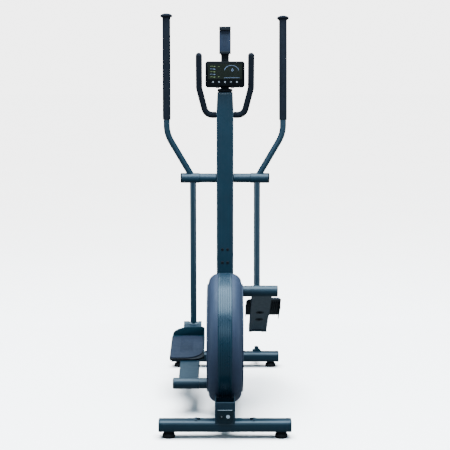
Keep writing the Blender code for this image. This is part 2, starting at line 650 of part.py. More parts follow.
def build_arm(side, yoke, turn):
    """Built round the yoke pin with the arm level behind it, then turned to its rest angle."""
    name = SIDE_NAMES[side]
    hinge = pivot(f"{name}_arm_pivot", (0, yoke.x, yoke.y), turn)
    rear = -ARM_LENGTH
    half = ARM_HALF_HEIGHT
    xs = sorted((side * ARM_LOW_X, side * ARM_HIGH_X))
    beam = block((xs[0], rear + 0.008, -half), (xs[1], 0, half), 0.003)
    front = cross_rod(side, ARM_LOW_X, ARM_HIGH_X, 0, 0, 0.020, 24)
    bush = cross_rod(side, 0.1080, 0.2170, rear, 0, BUSH_RADIUS, 24)
    slot_xs = sorted((side * 0.1266, side * 0.1714))
    slot = block((slot_xs[0], -0.034, -0.05), (slot_xs[1], 0.05, 0.05))
    arm = union(beam, front, bush)
    arm = cut(
        arm, slot, cross_rod(side, 0.10, 0.21, 0, 0, YOKE_PIN_RADIUS + 0.0004, 16),
        cross_rod(side, 0.10, 0.23, rear, 0, PIN_RADIUS + 0.0004, 20))
    part(f"{name}_pedal_arm", arm, TEAL, None, hinge)
    crank_pin = cross_rod(side, 0.1085, 0.2160, rear, 0, PIN_RADIUS, 20)
    part(f"{name}_crank_pin", crank_pin, STEEL, None, hinge)
    yoke_pin = cross_rod(side, 0.1130, 0.1950, 0, 0, YOKE_PIN_RADIUS, 16)
    part(f"{name}_yoke_pin", yoke_pin, STEEL, None, hinge)

    tray_rear, tray_front = rear + TRAY_REAR, rear + TRAY_FRONT
    sole_low, sole_high = half + GAP, half + 0.0085
    sole = plate([round_corners([
        (side * TRAY_LOW_X, tray_rear, 0.035), (side * TRAY_HIGH_X, tray_rear, 0.010),
        (side * TRAY_HIGH_X, tray_front, 0.012), (side * TRAY_LOW_X, tray_front, 0.006)], 6)],
        sole_low, sole_high, "Z")
    wall = mirrored_plate(side, [
        (TRAY_LOW_X + 0.0004, sole_low + 0.001), (TRAY_HIGH_X - 0.014, sole_low + 0.001),
        (TRAY_HIGH_X - 0.008, sole_high + 0.006),
        (0.220, 0.048), (0.200, 0.062), (0.178, TOE_WALL_HEIGHT - 0.001), (0.150, TOE_WALL_HEIGHT),
        (0.110, TOE_WALL_HEIGHT - 0.001), (0.098, 0.066), (TRAY_LOW_X + 0.0004, 0.058)],
        tray_front - 0.0065, tray_front - 0.0005)
    lip_xs = sorted((side * (TRAY_LOW_X + 0.0010), side * (TRAY_LOW_X + 0.0045)))
    lip_low = sole_low + 0.0022
    lip = plate([[
        (tray_rear + 0.06, lip_low), (tray_front - 0.003, lip_low), (tray_front - 0.003, 0.055),
        (tray_front - 0.05, 0.040), (tray_front - 0.12, 0.030), (tray_rear + 0.06, sole_high + 0.003)]],
        *lip_xs)
    part(f"{name}_foot_tray", union(sole, wall, lip), BLACK_PLASTIC, None, hinge)
    pad = plate([round_corners([
        (side * (TRAY_LOW_X + 0.006), tray_rear + 0.005, 0.050),
        (side * (TRAY_HIGH_X - 0.004), tray_rear + 0.005, 0.010),
        (side * (TRAY_HIGH_X - 0.004), tray_front - 0.012, 0.012),
        (side * (TRAY_LOW_X + 0.006), tray_front - 0.012, 0.010)], 6)],
        sole_high + GAP, sole_high + 0.0050, "Z")
    part(f"{name}_foot_pad", pad, SLATE, None, hinge)


build_base()
build_frame()
build_fixed_handlebar()
build_console()
build_phone_holder()
build_housing()
build_drive()
for each_side in (LEFT, RIGHT):
    build_crank(each_side)
    yoke_place, handlebar_angle, arm_angle = linkage(each_side)
    build_handlebar(each_side, handlebar_angle)
    build_arm(each_side, yoke_place, arm_angle)
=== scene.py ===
"""Elliptical trainer: finishes, fine shapes, camera and light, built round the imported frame."""

import json
import math

import bmesh
import bpy
from mathutils import Matrix, Vector

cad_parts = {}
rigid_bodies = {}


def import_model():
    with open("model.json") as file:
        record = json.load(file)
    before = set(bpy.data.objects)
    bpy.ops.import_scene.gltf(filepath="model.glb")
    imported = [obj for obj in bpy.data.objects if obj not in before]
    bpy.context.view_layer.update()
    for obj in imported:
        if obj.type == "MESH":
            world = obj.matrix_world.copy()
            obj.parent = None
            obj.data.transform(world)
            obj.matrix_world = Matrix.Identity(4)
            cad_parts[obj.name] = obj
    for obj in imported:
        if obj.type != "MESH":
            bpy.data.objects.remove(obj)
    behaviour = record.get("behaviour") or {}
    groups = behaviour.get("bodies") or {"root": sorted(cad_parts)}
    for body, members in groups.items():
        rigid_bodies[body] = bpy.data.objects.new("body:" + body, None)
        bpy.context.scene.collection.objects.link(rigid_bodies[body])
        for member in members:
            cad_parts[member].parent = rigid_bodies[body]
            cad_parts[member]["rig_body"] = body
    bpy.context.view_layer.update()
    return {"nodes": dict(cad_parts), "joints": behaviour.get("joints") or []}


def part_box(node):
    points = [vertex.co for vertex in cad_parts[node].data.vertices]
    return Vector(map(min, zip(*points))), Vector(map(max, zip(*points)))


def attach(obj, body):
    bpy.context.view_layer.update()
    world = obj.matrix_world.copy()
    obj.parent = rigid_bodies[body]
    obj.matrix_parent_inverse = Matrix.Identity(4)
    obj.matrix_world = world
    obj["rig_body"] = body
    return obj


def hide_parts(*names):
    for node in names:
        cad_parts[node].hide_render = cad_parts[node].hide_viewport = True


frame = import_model()
nodes = frame["nodes"]

LEFT, RIGHT = -1, 1
SIDES = {"left": LEFT, "right": RIGHT}
X_AXIS = Vector((1, 0, 0))


# ---- places read from the frame
def centre_of(node):
    low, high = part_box(node)
    return (low + high) / 2


def size_of(node):
    low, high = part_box(node)
    return high - low


def joint_place(name):
    return Vector(next(j for j in frame["joints"] if j["name"] == name)["pos_m"])


def space(origin, along_y):
    """A frame with its origin at a place, X across the machine and Y along a direction."""
    y = Vector(along_y).normalized()
    z = X_AXIS.cross(y).normalized()
    turn = Matrix((X_AXIS, y, z)).transposed().to_4x4()
    return Matrix.Translation(origin) @ turn


CRANK = joint_place("crank_spin")
PIVOT = centre_of("pivot_axle")
HOUSING_RADIUS = size_of("rim_band").z / 2
BAND_HALF = size_of("rim_band").x / 2
DISC_RADIUS = size_of("right_crank_disc").z / 2
DISC_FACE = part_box("right_crank_disc")[1].x
DISC_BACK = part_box("right_crank_disc")[0].x
TILT = math.radians(-15)
TUBE_Z = centre_of("rear_stabilizer").z
TUBE_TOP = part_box("rear_stabilizer")[1].z


def arm_space(side):
    """Origin on the yoke pin, Y forward along the pedal arm."""
    rear = centre_of(f"{side}_crank_pin")
    front = centre_of(f"{side}_yoke_pin")
    rear.x = front.x = 0
    return space(front, front - rear)


def handlebar_space(side):
    """Origin on the handlebar's pivot, Z up along its lower tube."""
    low = centre_of(f"{side}_yoke_pin")
    low.x = 0
    z = (PIVOT - low).normalized()
    y = z.cross(X_AXIS)
    return Matrix.Translation(PIVOT) @ Matrix((X_AXIS, y, z)).transposed().to_4x4()


ARM = {side: arm_space(side) for side in SIDES}
BAR = {side: handlebar_space(side) for side in SIDES}
ARM_LENGTH = (centre_of("right_crank_pin") - centre_of("right_yoke_pin")).yz.length


def console_space():
    """Origin in the middle of the console's face, Y into it."""
    middle = centre_of("console_display")
    turn = Matrix.Rotation(TILT, 4, "X")
    return Matrix.Translation(middle) @ turn


CONSOLE = console_space()


# ---- finishes
class Finish:
    """A procedural material under construction: a Principled shader and the nodes that feed it."""

    NOISE_LOW, NOISE_HIGH = 0.3, 0.7

    def __init__(self, name, roughness, metallic=0.0):
        self.material = bpy.data.materials.new(name)
        self.material.use_nodes = True
        self.tree = self.material.node_tree
        self.shader = self.tree.nodes["Principled BSDF"]
        self.shader.inputs["Roughness"].default_value = roughness
        self.shader.inputs["Metallic"].default_value = metallic
        self.place = self.tree.nodes.new("ShaderNodeTexCoord").outputs["Object"]

    def link(self, source, target):
        self.tree.links.new(source, target)

    def noise(self, scale, detail=3.0, rough=0.5):
        made = self.tree.nodes.new("ShaderNodeTexNoise")
        made.inputs["Scale"].default_value = scale
        made.inputs["Detail"].default_value = detail
        made.inputs["Roughness"].default_value = rough
        self.link(self.place, made.inputs["Vector"])
        return made.outputs["Fac"]

    def cells(self, scale):
        made = self.tree.nodes.new("ShaderNodeTexVoronoi")
        made.inputs["Scale"].default_value = scale
        self.link(self.place, made.inputs["Vector"])
        return made.outputs["Distance"]

    def ramp(self, source, low, high):
        made = self.tree.nodes.new("ShaderNodeValToRGB")
        made.color_ramp.elements[0].position = self.NOISE_LOW
        made.color_ramp.elements[1].position = self.NOISE_HIGH
        made.color_ramp.elements[0].color = (*low, 1)
        made.color_ramp.elements[1].color = (*high, 1)
        self.link(source, made.inputs["Fac"])
        return made.outputs["Color"]

    def spread(self, source, low, high):
        made = self.tree.nodes.new("ShaderNodeMapRange")
        made.inputs["From Min"].default_value = self.NOISE_LOW
        made.inputs["From Max"].default_value = self.NOISE_HIGH
        made.inputs["To Min"].default_value = low
        made.inputs["To Max"].default_value = high
        self.link(source, made.inputs["Value"])
        return made.outputs["Result"]

    def colour(self, base, change, scale):
        """The base colour, drifting a little lighter and darker over the surface."""
        low = tuple(c * (1 - change) for c in base)
        high = tuple(c * (1 + change) for c in base)
        self.link(self.ramp(self.noise(scale), low, high), self.shader.inputs["Base Color"])

    def roughness(self, low, high, scale):
        self.link(self.spread(self.noise(scale, 4.0), low, high), self.shader.inputs["Roughness"])

    def bump(self, source, strength, depth):
        made = self.tree.nodes.new("ShaderNodeBump")
        made.inputs["Strength"].default_value = strength
        made.inputs["Distance"].default_value = depth
        self.link(source, made.inputs["Height"])
        self.link(made.outputs["Normal"], self.shader.inputs["Normal"])


def powder_coat(name, base, rough, flake):
    """Satin paint with an orange-peel skin and a faint metallic flake."""
    made = Finish(name, rough, flake)
    made.colour(base, 0.10, 9)
    made.roughness(rough - 0.04, rough + 0.05, 60)
    made.bump(made.noise(700, 2.0), 0.035, 0.0002)
    made.shader.inputs["Coat Weight"].default_value = 0.20
    made.shader.inputs["Coat Roughness"].default_value = 0.22
    return made.material


def moulded(name, base, rough, grain, depth, shine=0.45):
    """Injection-moulded plastic with a spark-eroded grain."""
    made = Finish(name, rough)
    made.shader.inputs["Specular IOR Level"].default_value = shine
    made.colour(base, 0.07, 14)
    made.roughness(rough - 0.06, rough + 0.08, 45)
    made.bump(made.cells(grain), 0.25, depth)
    return made.material


def foam(name, base):
    """Closed-cell foam: fine pores, dry sheen."""
    made = Finish(name, 0.82)
    made.colour(base, 0.16, 38)
    made.roughness(0.74, 0.90, 70)
    made.bump(made.noise(1300, 5.0, 0.7), 0.45, 0.0005)
    made.shader.inputs["Specular IOR Level"].default_value = 0.2
    made.shader.inputs["Sheen Weight"].default_value = 0.03
    made.shader.inputs["Sheen Roughness"].default_value = 0.5
    return made.material


def machined(name, base, rough):
    """Bright metal with turning marks."""
    made = Finish(name, rough, 1.0)
    made.colour(base, 0.08, 30)
    made.roughness(rough - 0.08, rough + 0.10, 220)
    made.bump(made.noise(420, 3.0), 0.08, 0.0002)
    return made.material


def lit(name, base, glow, strength):
    """A dim light-up mark on the display or a key."""
    made = Finish(name, 0.35)
    made.colour(base, 0.10, 120)
    made.shader.inputs["Emission Color"].default_value = (*glow, 1)
    made.shader.inputs["Emission Strength"].default_value = strength
    return made.material


TEAL = powder_coat("teal_powder_coat", (0.0062, 0.0280, 0.0465), 0.36, 0.12)
BAND_TEAL = powder_coat("band_gloss_teal", (0.0085, 0.0370, 0.0620), 0.30, 0.15)
SLATE = moulded("slate_moulding", (0.040, 0.052, 0.090), 0.52, 900, 0.0002, 0.35)
PAD_SLATE = moulded("pad_slate_rubber", (0.023, 0.029, 0.049), 0.66, 700, 0.0003, 0.25)
HOLDER_SLATE = moulded("holder_slate", (0.026, 0.035, 0.060), 0.50, 1000, 0.0002, 0.3)
FOAM = foam("navy_foam_skin", (0.0050, 0.0068, 0.0125))
GLOSS = moulded("console_gloss_black", (0.0016, 0.0018, 0.0022), 0.20, 1600, 0.00002, 0.05)
BLACK = moulded("black_moulding", (0.0070, 0.0085, 0.0120), 0.50, 1000, 0.0002, 0.25)
RUBBER = moulded("black_rubber_skin", (0.0070, 0.0072, 0.0085), 0.74, 600, 0.0003, 0.22)
TOE_TEAL = moulded("toe_wall_teal", (0.0050, 0.0270, 0.0420), 0.46, 1000, 0.0002, 0.3)
COVER_TEAL = moulded("cover_dark_teal", (0.0045, 0.0160, 0.0240), 0.44, 1000, 0.0002, 0.3)
STEEL = machined("zinc_steel", (0.52, 0.54, 0.57), 0.30)
IRON = machined("turned_iron", (0.20, 0.20, 0.21), 0.42)
GLASS_BLACK = moulded("display_window", (0.0105, 0.0115, 0.0085), 0.16, 1800, 0.00002, 0.06)
READOUT_GREEN = lit("readout_green", (0.05, 0.07, 0.01), (0.45, 0.60, 0.10), 0.10)
READOUT_BLUE = lit("readout_blue", (0.05, 0.07, 0.12), (0.35, 0.50, 0.80), 0.16)
KEY_WHITE = lit("key_mark_white", (0.6, 0.6, 0.62), (0.9, 0.92, 1.0), 0.25)
SOCKET_WHITE = moulded("socket_white", (0.62, 0.66, 0.72), 0.35, 800, 0.0001)


# ---- making pieces
SHARP_ANGLE = 32
MERGE_DISTANCE = 1e-6


def add(name, mesh, material, body, slot, *replaced):
    """Puts a finished mesh in the scene on its body, in the frame's own coordinates."""
    mesh.name = name
    mesh.materials.clear()
    mesh.materials.append(material)
    piece = bpy.data.objects.new(name, mesh)
    bpy.context.scene.collection.objects.link(piece)
    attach(piece, body)
    if replaced:
        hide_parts(*replaced)
    return piece


def smooth(mesh, angle=SHARP_ANGLE):
    mesh.shade_smooth()
    mesh.set_sharp_from_angle(angle=math.radians(angle))
    return mesh


def to_mesh(bm, place=None, angle=SHARP_ANGLE):
    """A closed mesh from a bmesh, its faces turned outwards, moved to its place."""
    bmesh.ops.remove_doubles(bm, verts=bm.verts, dist=MERGE_DISTANCE)
    bmesh.ops.recalc_face_normals(bm, faces=bm.faces)
    mesh = bpy.data.meshes.new("shape")
    bm.to_mesh(mesh)
    bm.free()
    if place is not None:
        mesh.transform(place)
    return smooth(mesh, angle)


def baked(obj):
    """The plain mesh of an object with its modifiers and place applied. The object goes."""
    bpy.context.view_layer.update()
    graph = bpy.context.evaluated_depsgraph_get()
    mesh = bpy.data.meshes.new_from_object(obj.evaluated_get(graph))
    mesh.transform(obj.matrix_world)
    bpy.data.objects.remove(obj)
    return mesh


def body_of(node):
    return nodes[node]["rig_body"]


def refined(node, material, slot, width=0.0012):
    """A CAD part's own shape, merged and cleaned, with its hard edges broken by a small round."""
    bm = bmesh.new()
    bm.from_mesh(nodes[node].data)
    bmesh.ops.remove_doubles(bm, verts=bm.verts, dist=2e-6)
    flat = math.radians(0.5)
    bmesh.ops.dissolve_limit(bm, angle_limit=flat, verts=bm.verts, edges=bm.edges)
    mesh = bpy.data.meshes.new(node)
    bm.to_mesh(mesh)
    bm.free()
    work = bpy.data.objects.new("work", mesh)
    bpy.context.scene.collection.objects.link(work)
    bevel = work.modifiers.new("edge", "BEVEL")
    bevel.width = width
    bevel.segments = 2
    bevel.limit_method = "ANGLE"
    bevel.angle_limit = math.radians(SHARP_ANGLE)
    bevel.use_clamp_overlap = True
    smooth(work.data)
    work.modifiers.new("flat_faces", "WEIGHTED_NORMAL").keep_sharp = True
    made = baked(work)
    return add(f"{node}_body", made, material, body_of(node), slot, node)


def turned_mesh(profile, axis_y, axis_z, side, sides):
    """A closed (x, radius) profile turned about the X line through (axis_y, axis_z)."""
    bm = bmesh.new()
    rings = []
    for step in range(sides):
        turn = 2 * math.pi * step / sides
        rings.append([
            bm.verts.new(
                (side * x, axis_y + radius * math.cos(turn), axis_z + radius * math.sin(turn)))
            for x, radius in profile])
    count = len(profile)
    for step in range(sides):
        here, there = rings[step], rings[(step + 1) % sides]
        for index in range(count):
            after = (index + 1) % count
            bm.faces.new([here[index], here[after], there[after], there[index]])
    bmesh.ops.remove_doubles(bm, verts=bm.verts, dist=MERGE_DISTANCE)
    bmesh.ops.dissolve_degenerate(bm, dist=1e-7, edges=bm.edges)
    return to_mesh(bm)


def lathe_z(profile, place, sides):
    """A closed (radius, z) profile turned about Z, then moved to its place."""
    made = turned_mesh([(z, radius) for radius, z in profile], 0, 0, 1, sides)
    quarter = Matrix(((0, 0, -1, 0), (0, 1, 0, 0), (1, 0, 0, 0), (0, 0, 0, 1)))
    made.transform(place @ quarter)
    return made


def arc(centre, radius, start, end, steps):
    """Points of an arc in degrees, as (u, v) pairs."""
    turns = [math.radians(start + (end - start) * k / steps) for k in range(steps + 1)]
    return [(centre[0] + radius * math.cos(t), centre[1] + radius * math.sin(t)) for t in turns]


def rounded_path(points, radius, steps):
    """The points of a path with its corners rounded."""
    points = [Vector(p) for p in points]
    path = [points[0]]
    for before, corner, after in zip(points, points[1:], points[2:]):
        incoming, outgoing = (before - corner).normalized(), (after - corner).normalized()
        half = incoming.angle(outgoing) / 2
        reach = radius / math.tan(half)
        centre = corner + (incoming + outgoing).normalized() * radius / math.sin(half)
        start = (corner + incoming * reach - centre).normalized()
        end = (corner + outgoing * reach - centre).normalized()
        path += [centre + start.slerp(end, k / steps) * radius for k in range(steps + 1)]
    return path + [points[-1]]


def tube_mesh(path, radii, sides):
    """A round tube along a path, closed at its ends, with a radius for each point."""
    bm = bmesh.new()
    rings = []
    side_way = None
    for index, point in enumerate(path):
        ahead = path[min(index + 1, len(path) - 1)]
        behind = path[max(index - 1, 0)]
        along = (ahead - behind).normalized()
        if side_way is None:
            side_way = along.orthogonal().normalized()
        side_way = (side_way - along * side_way.dot(along)).normalized()
        up_way = along.cross(side_way)
        turns = [2 * math.pi * k / sides for k in range(sides)]
        rings.append([
            bm.verts.new(point + radii[index] * (side_way * math.cos(t) + up_way * math.sin(t)))
            for t in turns])
    for here, there in zip(rings, rings[1:]):
        for k in range(sides):
            bm.faces.new([here[k], here[(k + 1) % sides], there[(k + 1) % sides], there[k]])
    bm.faces.new(rings[0][::-1])
    bm.faces.new(rings[-1])
    return to_mesh(bm)


def slab(outline, low, high, place=None, edge=0.001, segments=2, axis="Z"):
    """A flat closed outline with thickness and softened edges."""
    bm = bmesh.new()
    face = bm.faces.new([bm.verts.new((u, v, low)) for u, v in outline])
    pushed = bmesh.ops.extrude_face_region(bm, geom=[face])
    moved = [v for v in pushed["geom"] if isinstance(v, bmesh.types.BMVert)]
    bmesh.ops.translate(bm, vec=(0, 0, high - low), verts=moved)
    bmesh.ops.recalc_face_normals(bm, faces=bm.faces)
    if edge:
        sharp = [e for e in bm.edges if e.is_manifold and e.calc_face_angle() > math.radians(40)]
        bmesh.ops.bevel(bm, geom=sharp, offset=edge, segments=segments, profile=0.5, affect="EDGES")
    if axis == "Y":
        bm.transform(Matrix(((1, 0, 0, 0), (0, 0, 1, 0), (0, 1, 0, 0), (0, 0, 0, 1))))
    return to_mesh(bm, place)


def rounded_rectangle(low, high, radii, steps=8):
    """A closed outline between two corners, with a radius for each corner from low-low round."""
    (u0, v0), (u1, v1) = low, high
    r0, r1, r2, r3 = radii
    outline = arc((u0 + r0, v0 + r0), r0, 180, 270, steps)
    outline += arc((u1 - r1, v0 + r1), r1, 270, 360, steps)
    outline += arc((u1 - r2, v1 - r2), r2, 0, 90, steps)
    return outline + arc((u0 + r3, v1 - r3), r3, 90, 180, steps)


def joined(meshes):
    """Several meshes as one."""
    bm = bmesh.new()
    for mesh in meshes:
        bm.from_mesh(mesh)
    made = bpy.data.meshes.new("joined")
    bm.to_mesh(made)
    bm.free()
    return made


# ---- repeats, by Geometry Nodes
def node_tree(name, inputs):
    tree = bpy.data.node_groups.new(name, "GeometryNodeTree")
    for label, kind, value in inputs:
        socket = tree.interface.new_socket(label, in_out="INPUT", socket_type=kind)
        if value is not None:
            socket.default_value = value
    tree.interface.new_socket("Geometry", in_out="OUTPUT", socket_type="NodeSocketGeometry")
    return tree, tree.nodes.new("NodeGroupInput"), tree.nodes.new("NodeGroupOutput")


def repeat_tree(name):
    """Copies of a piece on a ring or a row: count, step along and turn between them."""
    tree, given, result = node_tree(name, [
        ("Piece", "NodeSocketObject", None), ("Count", "NodeSocketInt", 4),
        ("Step", "NodeSocketVector", (0, 0, 0)), ("Turn", "NodeSocketVector", (0, 0, 0)),
        ("Finish", "NodeSocketMaterial", None)])
    line = tree.nodes.new("GeometryNodeMeshLine")
    line.mode = "OFFSET"
    tree.links.new(given.outputs["Count"], line.inputs["Count"])
    tree.links.new(given.outputs["Step"], line.inputs["Offset"])
    info = tree.nodes.new("GeometryNodeObjectInfo")
    tree.links.new(given.outputs["Piece"], info.inputs["Object"])
    index = tree.nodes.new("GeometryNodeInputIndex")
    turn = tree.nodes.new("ShaderNodeVectorMath")
    turn.operation = "SCALE"
    tree.links.new(given.outputs["Turn"], turn.inputs[0])
    tree.links.new(index.outputs["Index"], turn.inputs["Scale"])
    spread = tree.nodes.new("GeometryNodeInstanceOnPoints")
    tree.links.new(line.outputs["Mesh"], spread.inputs["Points"])
    tree.links.new(info.outputs["Geometry"], spread.inputs["Instance"])
    tree.links.new(turn.outputs["Vector"], spread.inputs["Rotation"])
    real = tree.nodes.new("GeometryNodeRealizeInstances")
    tree.links.new(spread.outputs["Instances"], real.inputs["Geometry"])
    paint = tree.nodes.new("GeometryNodeSetMaterial")
    tree.links.new(real.outputs["Geometry"], paint.inputs["Geometry"])
    tree.links.new(given.outputs["Finish"], paint.inputs["Material"])
    tree.links.new(paint.outputs["Geometry"], result.inputs["Geometry"])
    return tree


REPEAT = repeat_tree("repeat_along_and_around")


def repeated(mesh, count, step=(0, 0, 0), turn=(0, 0, 0), place=None, material=None):
    """One plain mesh of count copies, each a step and a turn on from the last."""
    seed = bpy.data.objects.new("seed", mesh)
    bpy.context.scene.collection.objects.link(seed)
    host = bpy.data.objects.new("host", bpy.data.meshes.new("host"))
    bpy.context.scene.collection.objects.link(host)
    modifier = host.modifiers.new("repeat", "NODES")
    modifier.node_group = REPEAT
    named = {s.name: s.identifier for s in REPEAT.interface.items_tree if s.in_out == "INPUT"}
    values = {"Piece": seed, "Count": count, "Step": step, "Turn": turn, "Finish": material}
    for label, value in values.items():
        modifier[named[label]] = value
    made = baked(host)
    bpy.data.objects.remove(seed)
    if place is not None:
        made.transform(place)
    return smooth(made)


def facing(point, outward):
    """A place whose Z looks outward."""
    return Matrix.Translation(point) @ Vector(outward).to_track_quat("Z", "Y").to_matrix().to_4x4()


def socket_screw(radius, height):
    """A button-head screw with a hexagonal socket, standing on Z = 0."""
    head = [
        (0, 0), (radius, 0), (radius, height * 0.35), (radius * 0.86, height * 0.78),
        (radius * 0.55, height), (radius * 0.46, height), (radius * 0.42, height * 0.45), (0, height * 0.45)]
    return lathe_z(head, Matrix.Identity(4), 24)


# ---- housing
GROOVES = 5
DRAWN_RADIUS = 0.270
DISC_RECESS = 0.0016
BOSS_HOLE = 0.0231
SPOKES = 12
DISC_SCREWS = 6


def make_housing():
    """The grooved band round the rim, and each side's crowned shell and cover disc."""
    inner = HOUSING_RADIUS - 0.0045
    face = [(-BAND_HALF, inner), (BAND_HALF, inner), (BAND_HALF, HOUSING_RADIUS - 0.0022)]
    face += [(BAND_HALF - 0.0008, HOUSING_RADIUS - 0.0008), (BAND_HALF - 0.0025, HOUSING_RADIUS)]
    for index in range(GROOVES):
        x = BAND_HALF * 0.62 * (1 - 2 * index / (GROOVES - 1))
        face += [(x + 0.0011, HOUSING_RADIUS), (x + 0.0004, HOUSING_RADIUS - 0.0009),
                 (x - 0.0004, HOUSING_RADIUS - 0.0009), (x - 0.0011, HOUSING_RADIUS)]
    face += [(0.0025 - BAND_HALF, HOUSING_RADIUS), (0.0008 - BAND_HALF, HOUSING_RADIUS - 0.0008),
             (-BAND_HALF, HOUSING_RADIUS - 0.0022)]
    band = turned_mesh(face, CRANK.y, CRANK.z, 1, 192)
    add("grooved_rim_band", band, BAND_TEAL, "frame", "teal_paint", "rim_band")

    seam = BAND_HALF + 0.0003
    scale = HOUSING_RADIUS / DRAWN_RADIUS
    crown = [(seam, 0.2668), (0.0330, 0.2665), (0.0400, 0.2653), (0.0465, 0.2625), (0.0525, 0.2585),
             (0.0580, 0.2535), (0.0628, 0.2475), (0.0656, 0.2420), (0.0674, 0.2360), (0.0682, 0.2300),
             (0.0684, 0.2280), (0.0676, 0.2268), (0.0500, 0.2265), (0.0500, 0.0320), (0.0475, 0.0320),
             (0.0475, 0.2300), (0.0615, 0.2395), (0.0500, 0.2555), (seam, 0.2630)]
    shell = [(x, radius * scale) for x, radius in crown]
    sunk = [(DISC_RECESS, 0), (DISC_RECESS, 0.0230), (0.0006, 0.0240), (0.0006, 0.0600),
            (DISC_RECESS, 0.0612), (DISC_RECESS, 0.1650), (0.0004, 0.1665), (0, 0.1700), (0, 0.2195),
            (0.0005, 0.2220), (0.0018, 0.2238), (0.0034, DISC_RADIUS)]
    disc = [(DISC_BACK, 0), *[(DISC_FACE - depth, radius) for depth, radius in sunk],
            (DISC_BACK, DISC_RADIUS)]
    for name, side in SIDES.items():
        crowned = turned_mesh(shell, CRANK.y, CRANK.z, side, 160)
        add(f"{name}_crowned_shell", crowned, SLATE, "frame", "slate_plastic", f"{name}_shell")
        cover = turned_mesh(disc, CRANK.y, CRANK.z, side, 160)
        add(f"{name}_cover_disc", pierced(cover, side, name), SLATE, "crank", "slate_plastic",
            f"{name}_crank_disc")
        spokes(name, side)


def pierced(mesh, side, name):
    """The cover disc with the hole that the crank boss stands through."""
    work = bpy.data.objects.new("cover", mesh)
    bpy.context.scene.collection.objects.link(work)
    pin = centre_of(f"{name}_crank_pin")
    plug = [(0.060, 0), (0.060, BOSS_HOLE), (0.082, BOSS_HOLE), (0.082, 0)]
    hole = turned_mesh(plug, pin.y, pin.z, side, 48)
    cutter = bpy.data.objects.new("cutter", hole)
    bpy.context.scene.collection.objects.link(cutter)
    boolean = work.modifiers.new("hole", "BOOLEAN")
    boolean.operation = "DIFFERENCE"
    boolean.object = cutter
    made = baked(work)
    bpy.data.objects.remove(cutter)
    return smooth(made)


def spokes(name, side):
    """Raised ribs round the cover disc, and the screws between them."""
    outline = rounded_rectangle((0.075, -0.0035), (0.152, 0.0035), (0.003,) * 4, 4)
    rib = slab(outline, 0, 0.0012, None, 0.0004)
    face = Matrix.Translation((side * (DISC_FACE - DISC_RECESS), CRANK.y, CRANK.z))
    turn = Matrix.Rotation(side * math.pi / 2, 4, "Y")
    first = Matrix.Rotation(math.radians(180 / SPOKES), 4, "Z")
    ribs = repeated(rib, SPOKES, turn=(0, 0, math.radians(360 / SPOKES)),
                    place=face @ turn @ first, material=SLATE)
    add(f"{name}_disc_ribs", ribs, SLATE, "crank", "slate_plastic")
    screw = socket_screw(0.0042, 0.0018)
    screw.transform(Matrix.Translation((0.040, 0, 0.0010)))
    screws = repeated(screw, DISC_SCREWS, turn=(0, 0, math.radians(360 / DISC_SCREWS)),
                      place=face @ turn, material=BLACK)
    add(f"{name}_disc_screws", screws, BLACK, "crank", "black_plastic")


# ---- grips
CAP_LENGTH = 0.022
SLEEVE_RADIUS = 0.0183
CAP_RADIUS = 0.0286
CAP_DOME = 0.0124
FIXED_GRIP_RADIUS = 0.0148
FIXED_GRIP_START_X = 0.041
FIXED_BAR_BEND_X = 0.088
FIXED_BAR_SHOULDER_Z = 1.357
FIXED_BAR_LEAN = -0.045


def make_moving_grips():
    """The foam sleeves of the swinging handlebars, each with a mushroom cap."""
    for name in SIDES:
        points = [v.co.copy() for v in nodes[f"{name}_grip"].data.vertices]
        inward = BAR[name].inverted()
        local = [inward @ p for p in points]
        low = min(p.z for p in local)
        foot = [p for p in local if p.z < low + 0.004]
        base = sum(foot, Vector()) / len(foot)
        peak = max(local, key=lambda p: p.z)
        length = (peak - base).length
        along = (peak - base).normalized()
        place = BAR[name] @ facing(base, along)
        sleeve_end = length - CAP_LENGTH
        sleeve = [(0.0155, 0.0005), (0.0170, 0.0), (0.0180, 0.0012), (SLEEVE_RADIUS, 0.0040)]
        for k in range(1, 10):
            swell = 0.0003 * math.sin(math.pi * k / 10)
            sleeve.append((SLEEVE_RADIUS + swell, 0.004 + (sleeve_end - 0.008) * k / 10))
        sleeve += [(0.0184, sleeve_end - 0.003), (0.0188, sleeve_end), (0.0155, sleeve_end)]
        piece = add(f"{name}_foam_sleeve", lathe_z(sleeve, place, 48), FOAM, f"{name}_handlebar",
                    "navy_foam", f"{name}_grip")
        wide = length - 0.0125
        cap = [(0, sleeve_end + 0.0003), (0.0188, sleeve_end + 0.0003), (0.0204, wide - 0.0072),
               (0.0246, wide - 0.0052), (0.0274, wide - 0.0028)]
        turns = [math.radians(9 * k) for k in range(10)]
        cap += [(CAP_RADIUS * math.cos(t), wide + CAP_DOME * math.sin(t)) for t in turns]
        cap += [(0, length - 0.0001)]
        add(f"{name}_grip_cap", lathe_z(cap, place, 56), FOAM, f"{name}_handlebar", "navy_foam")


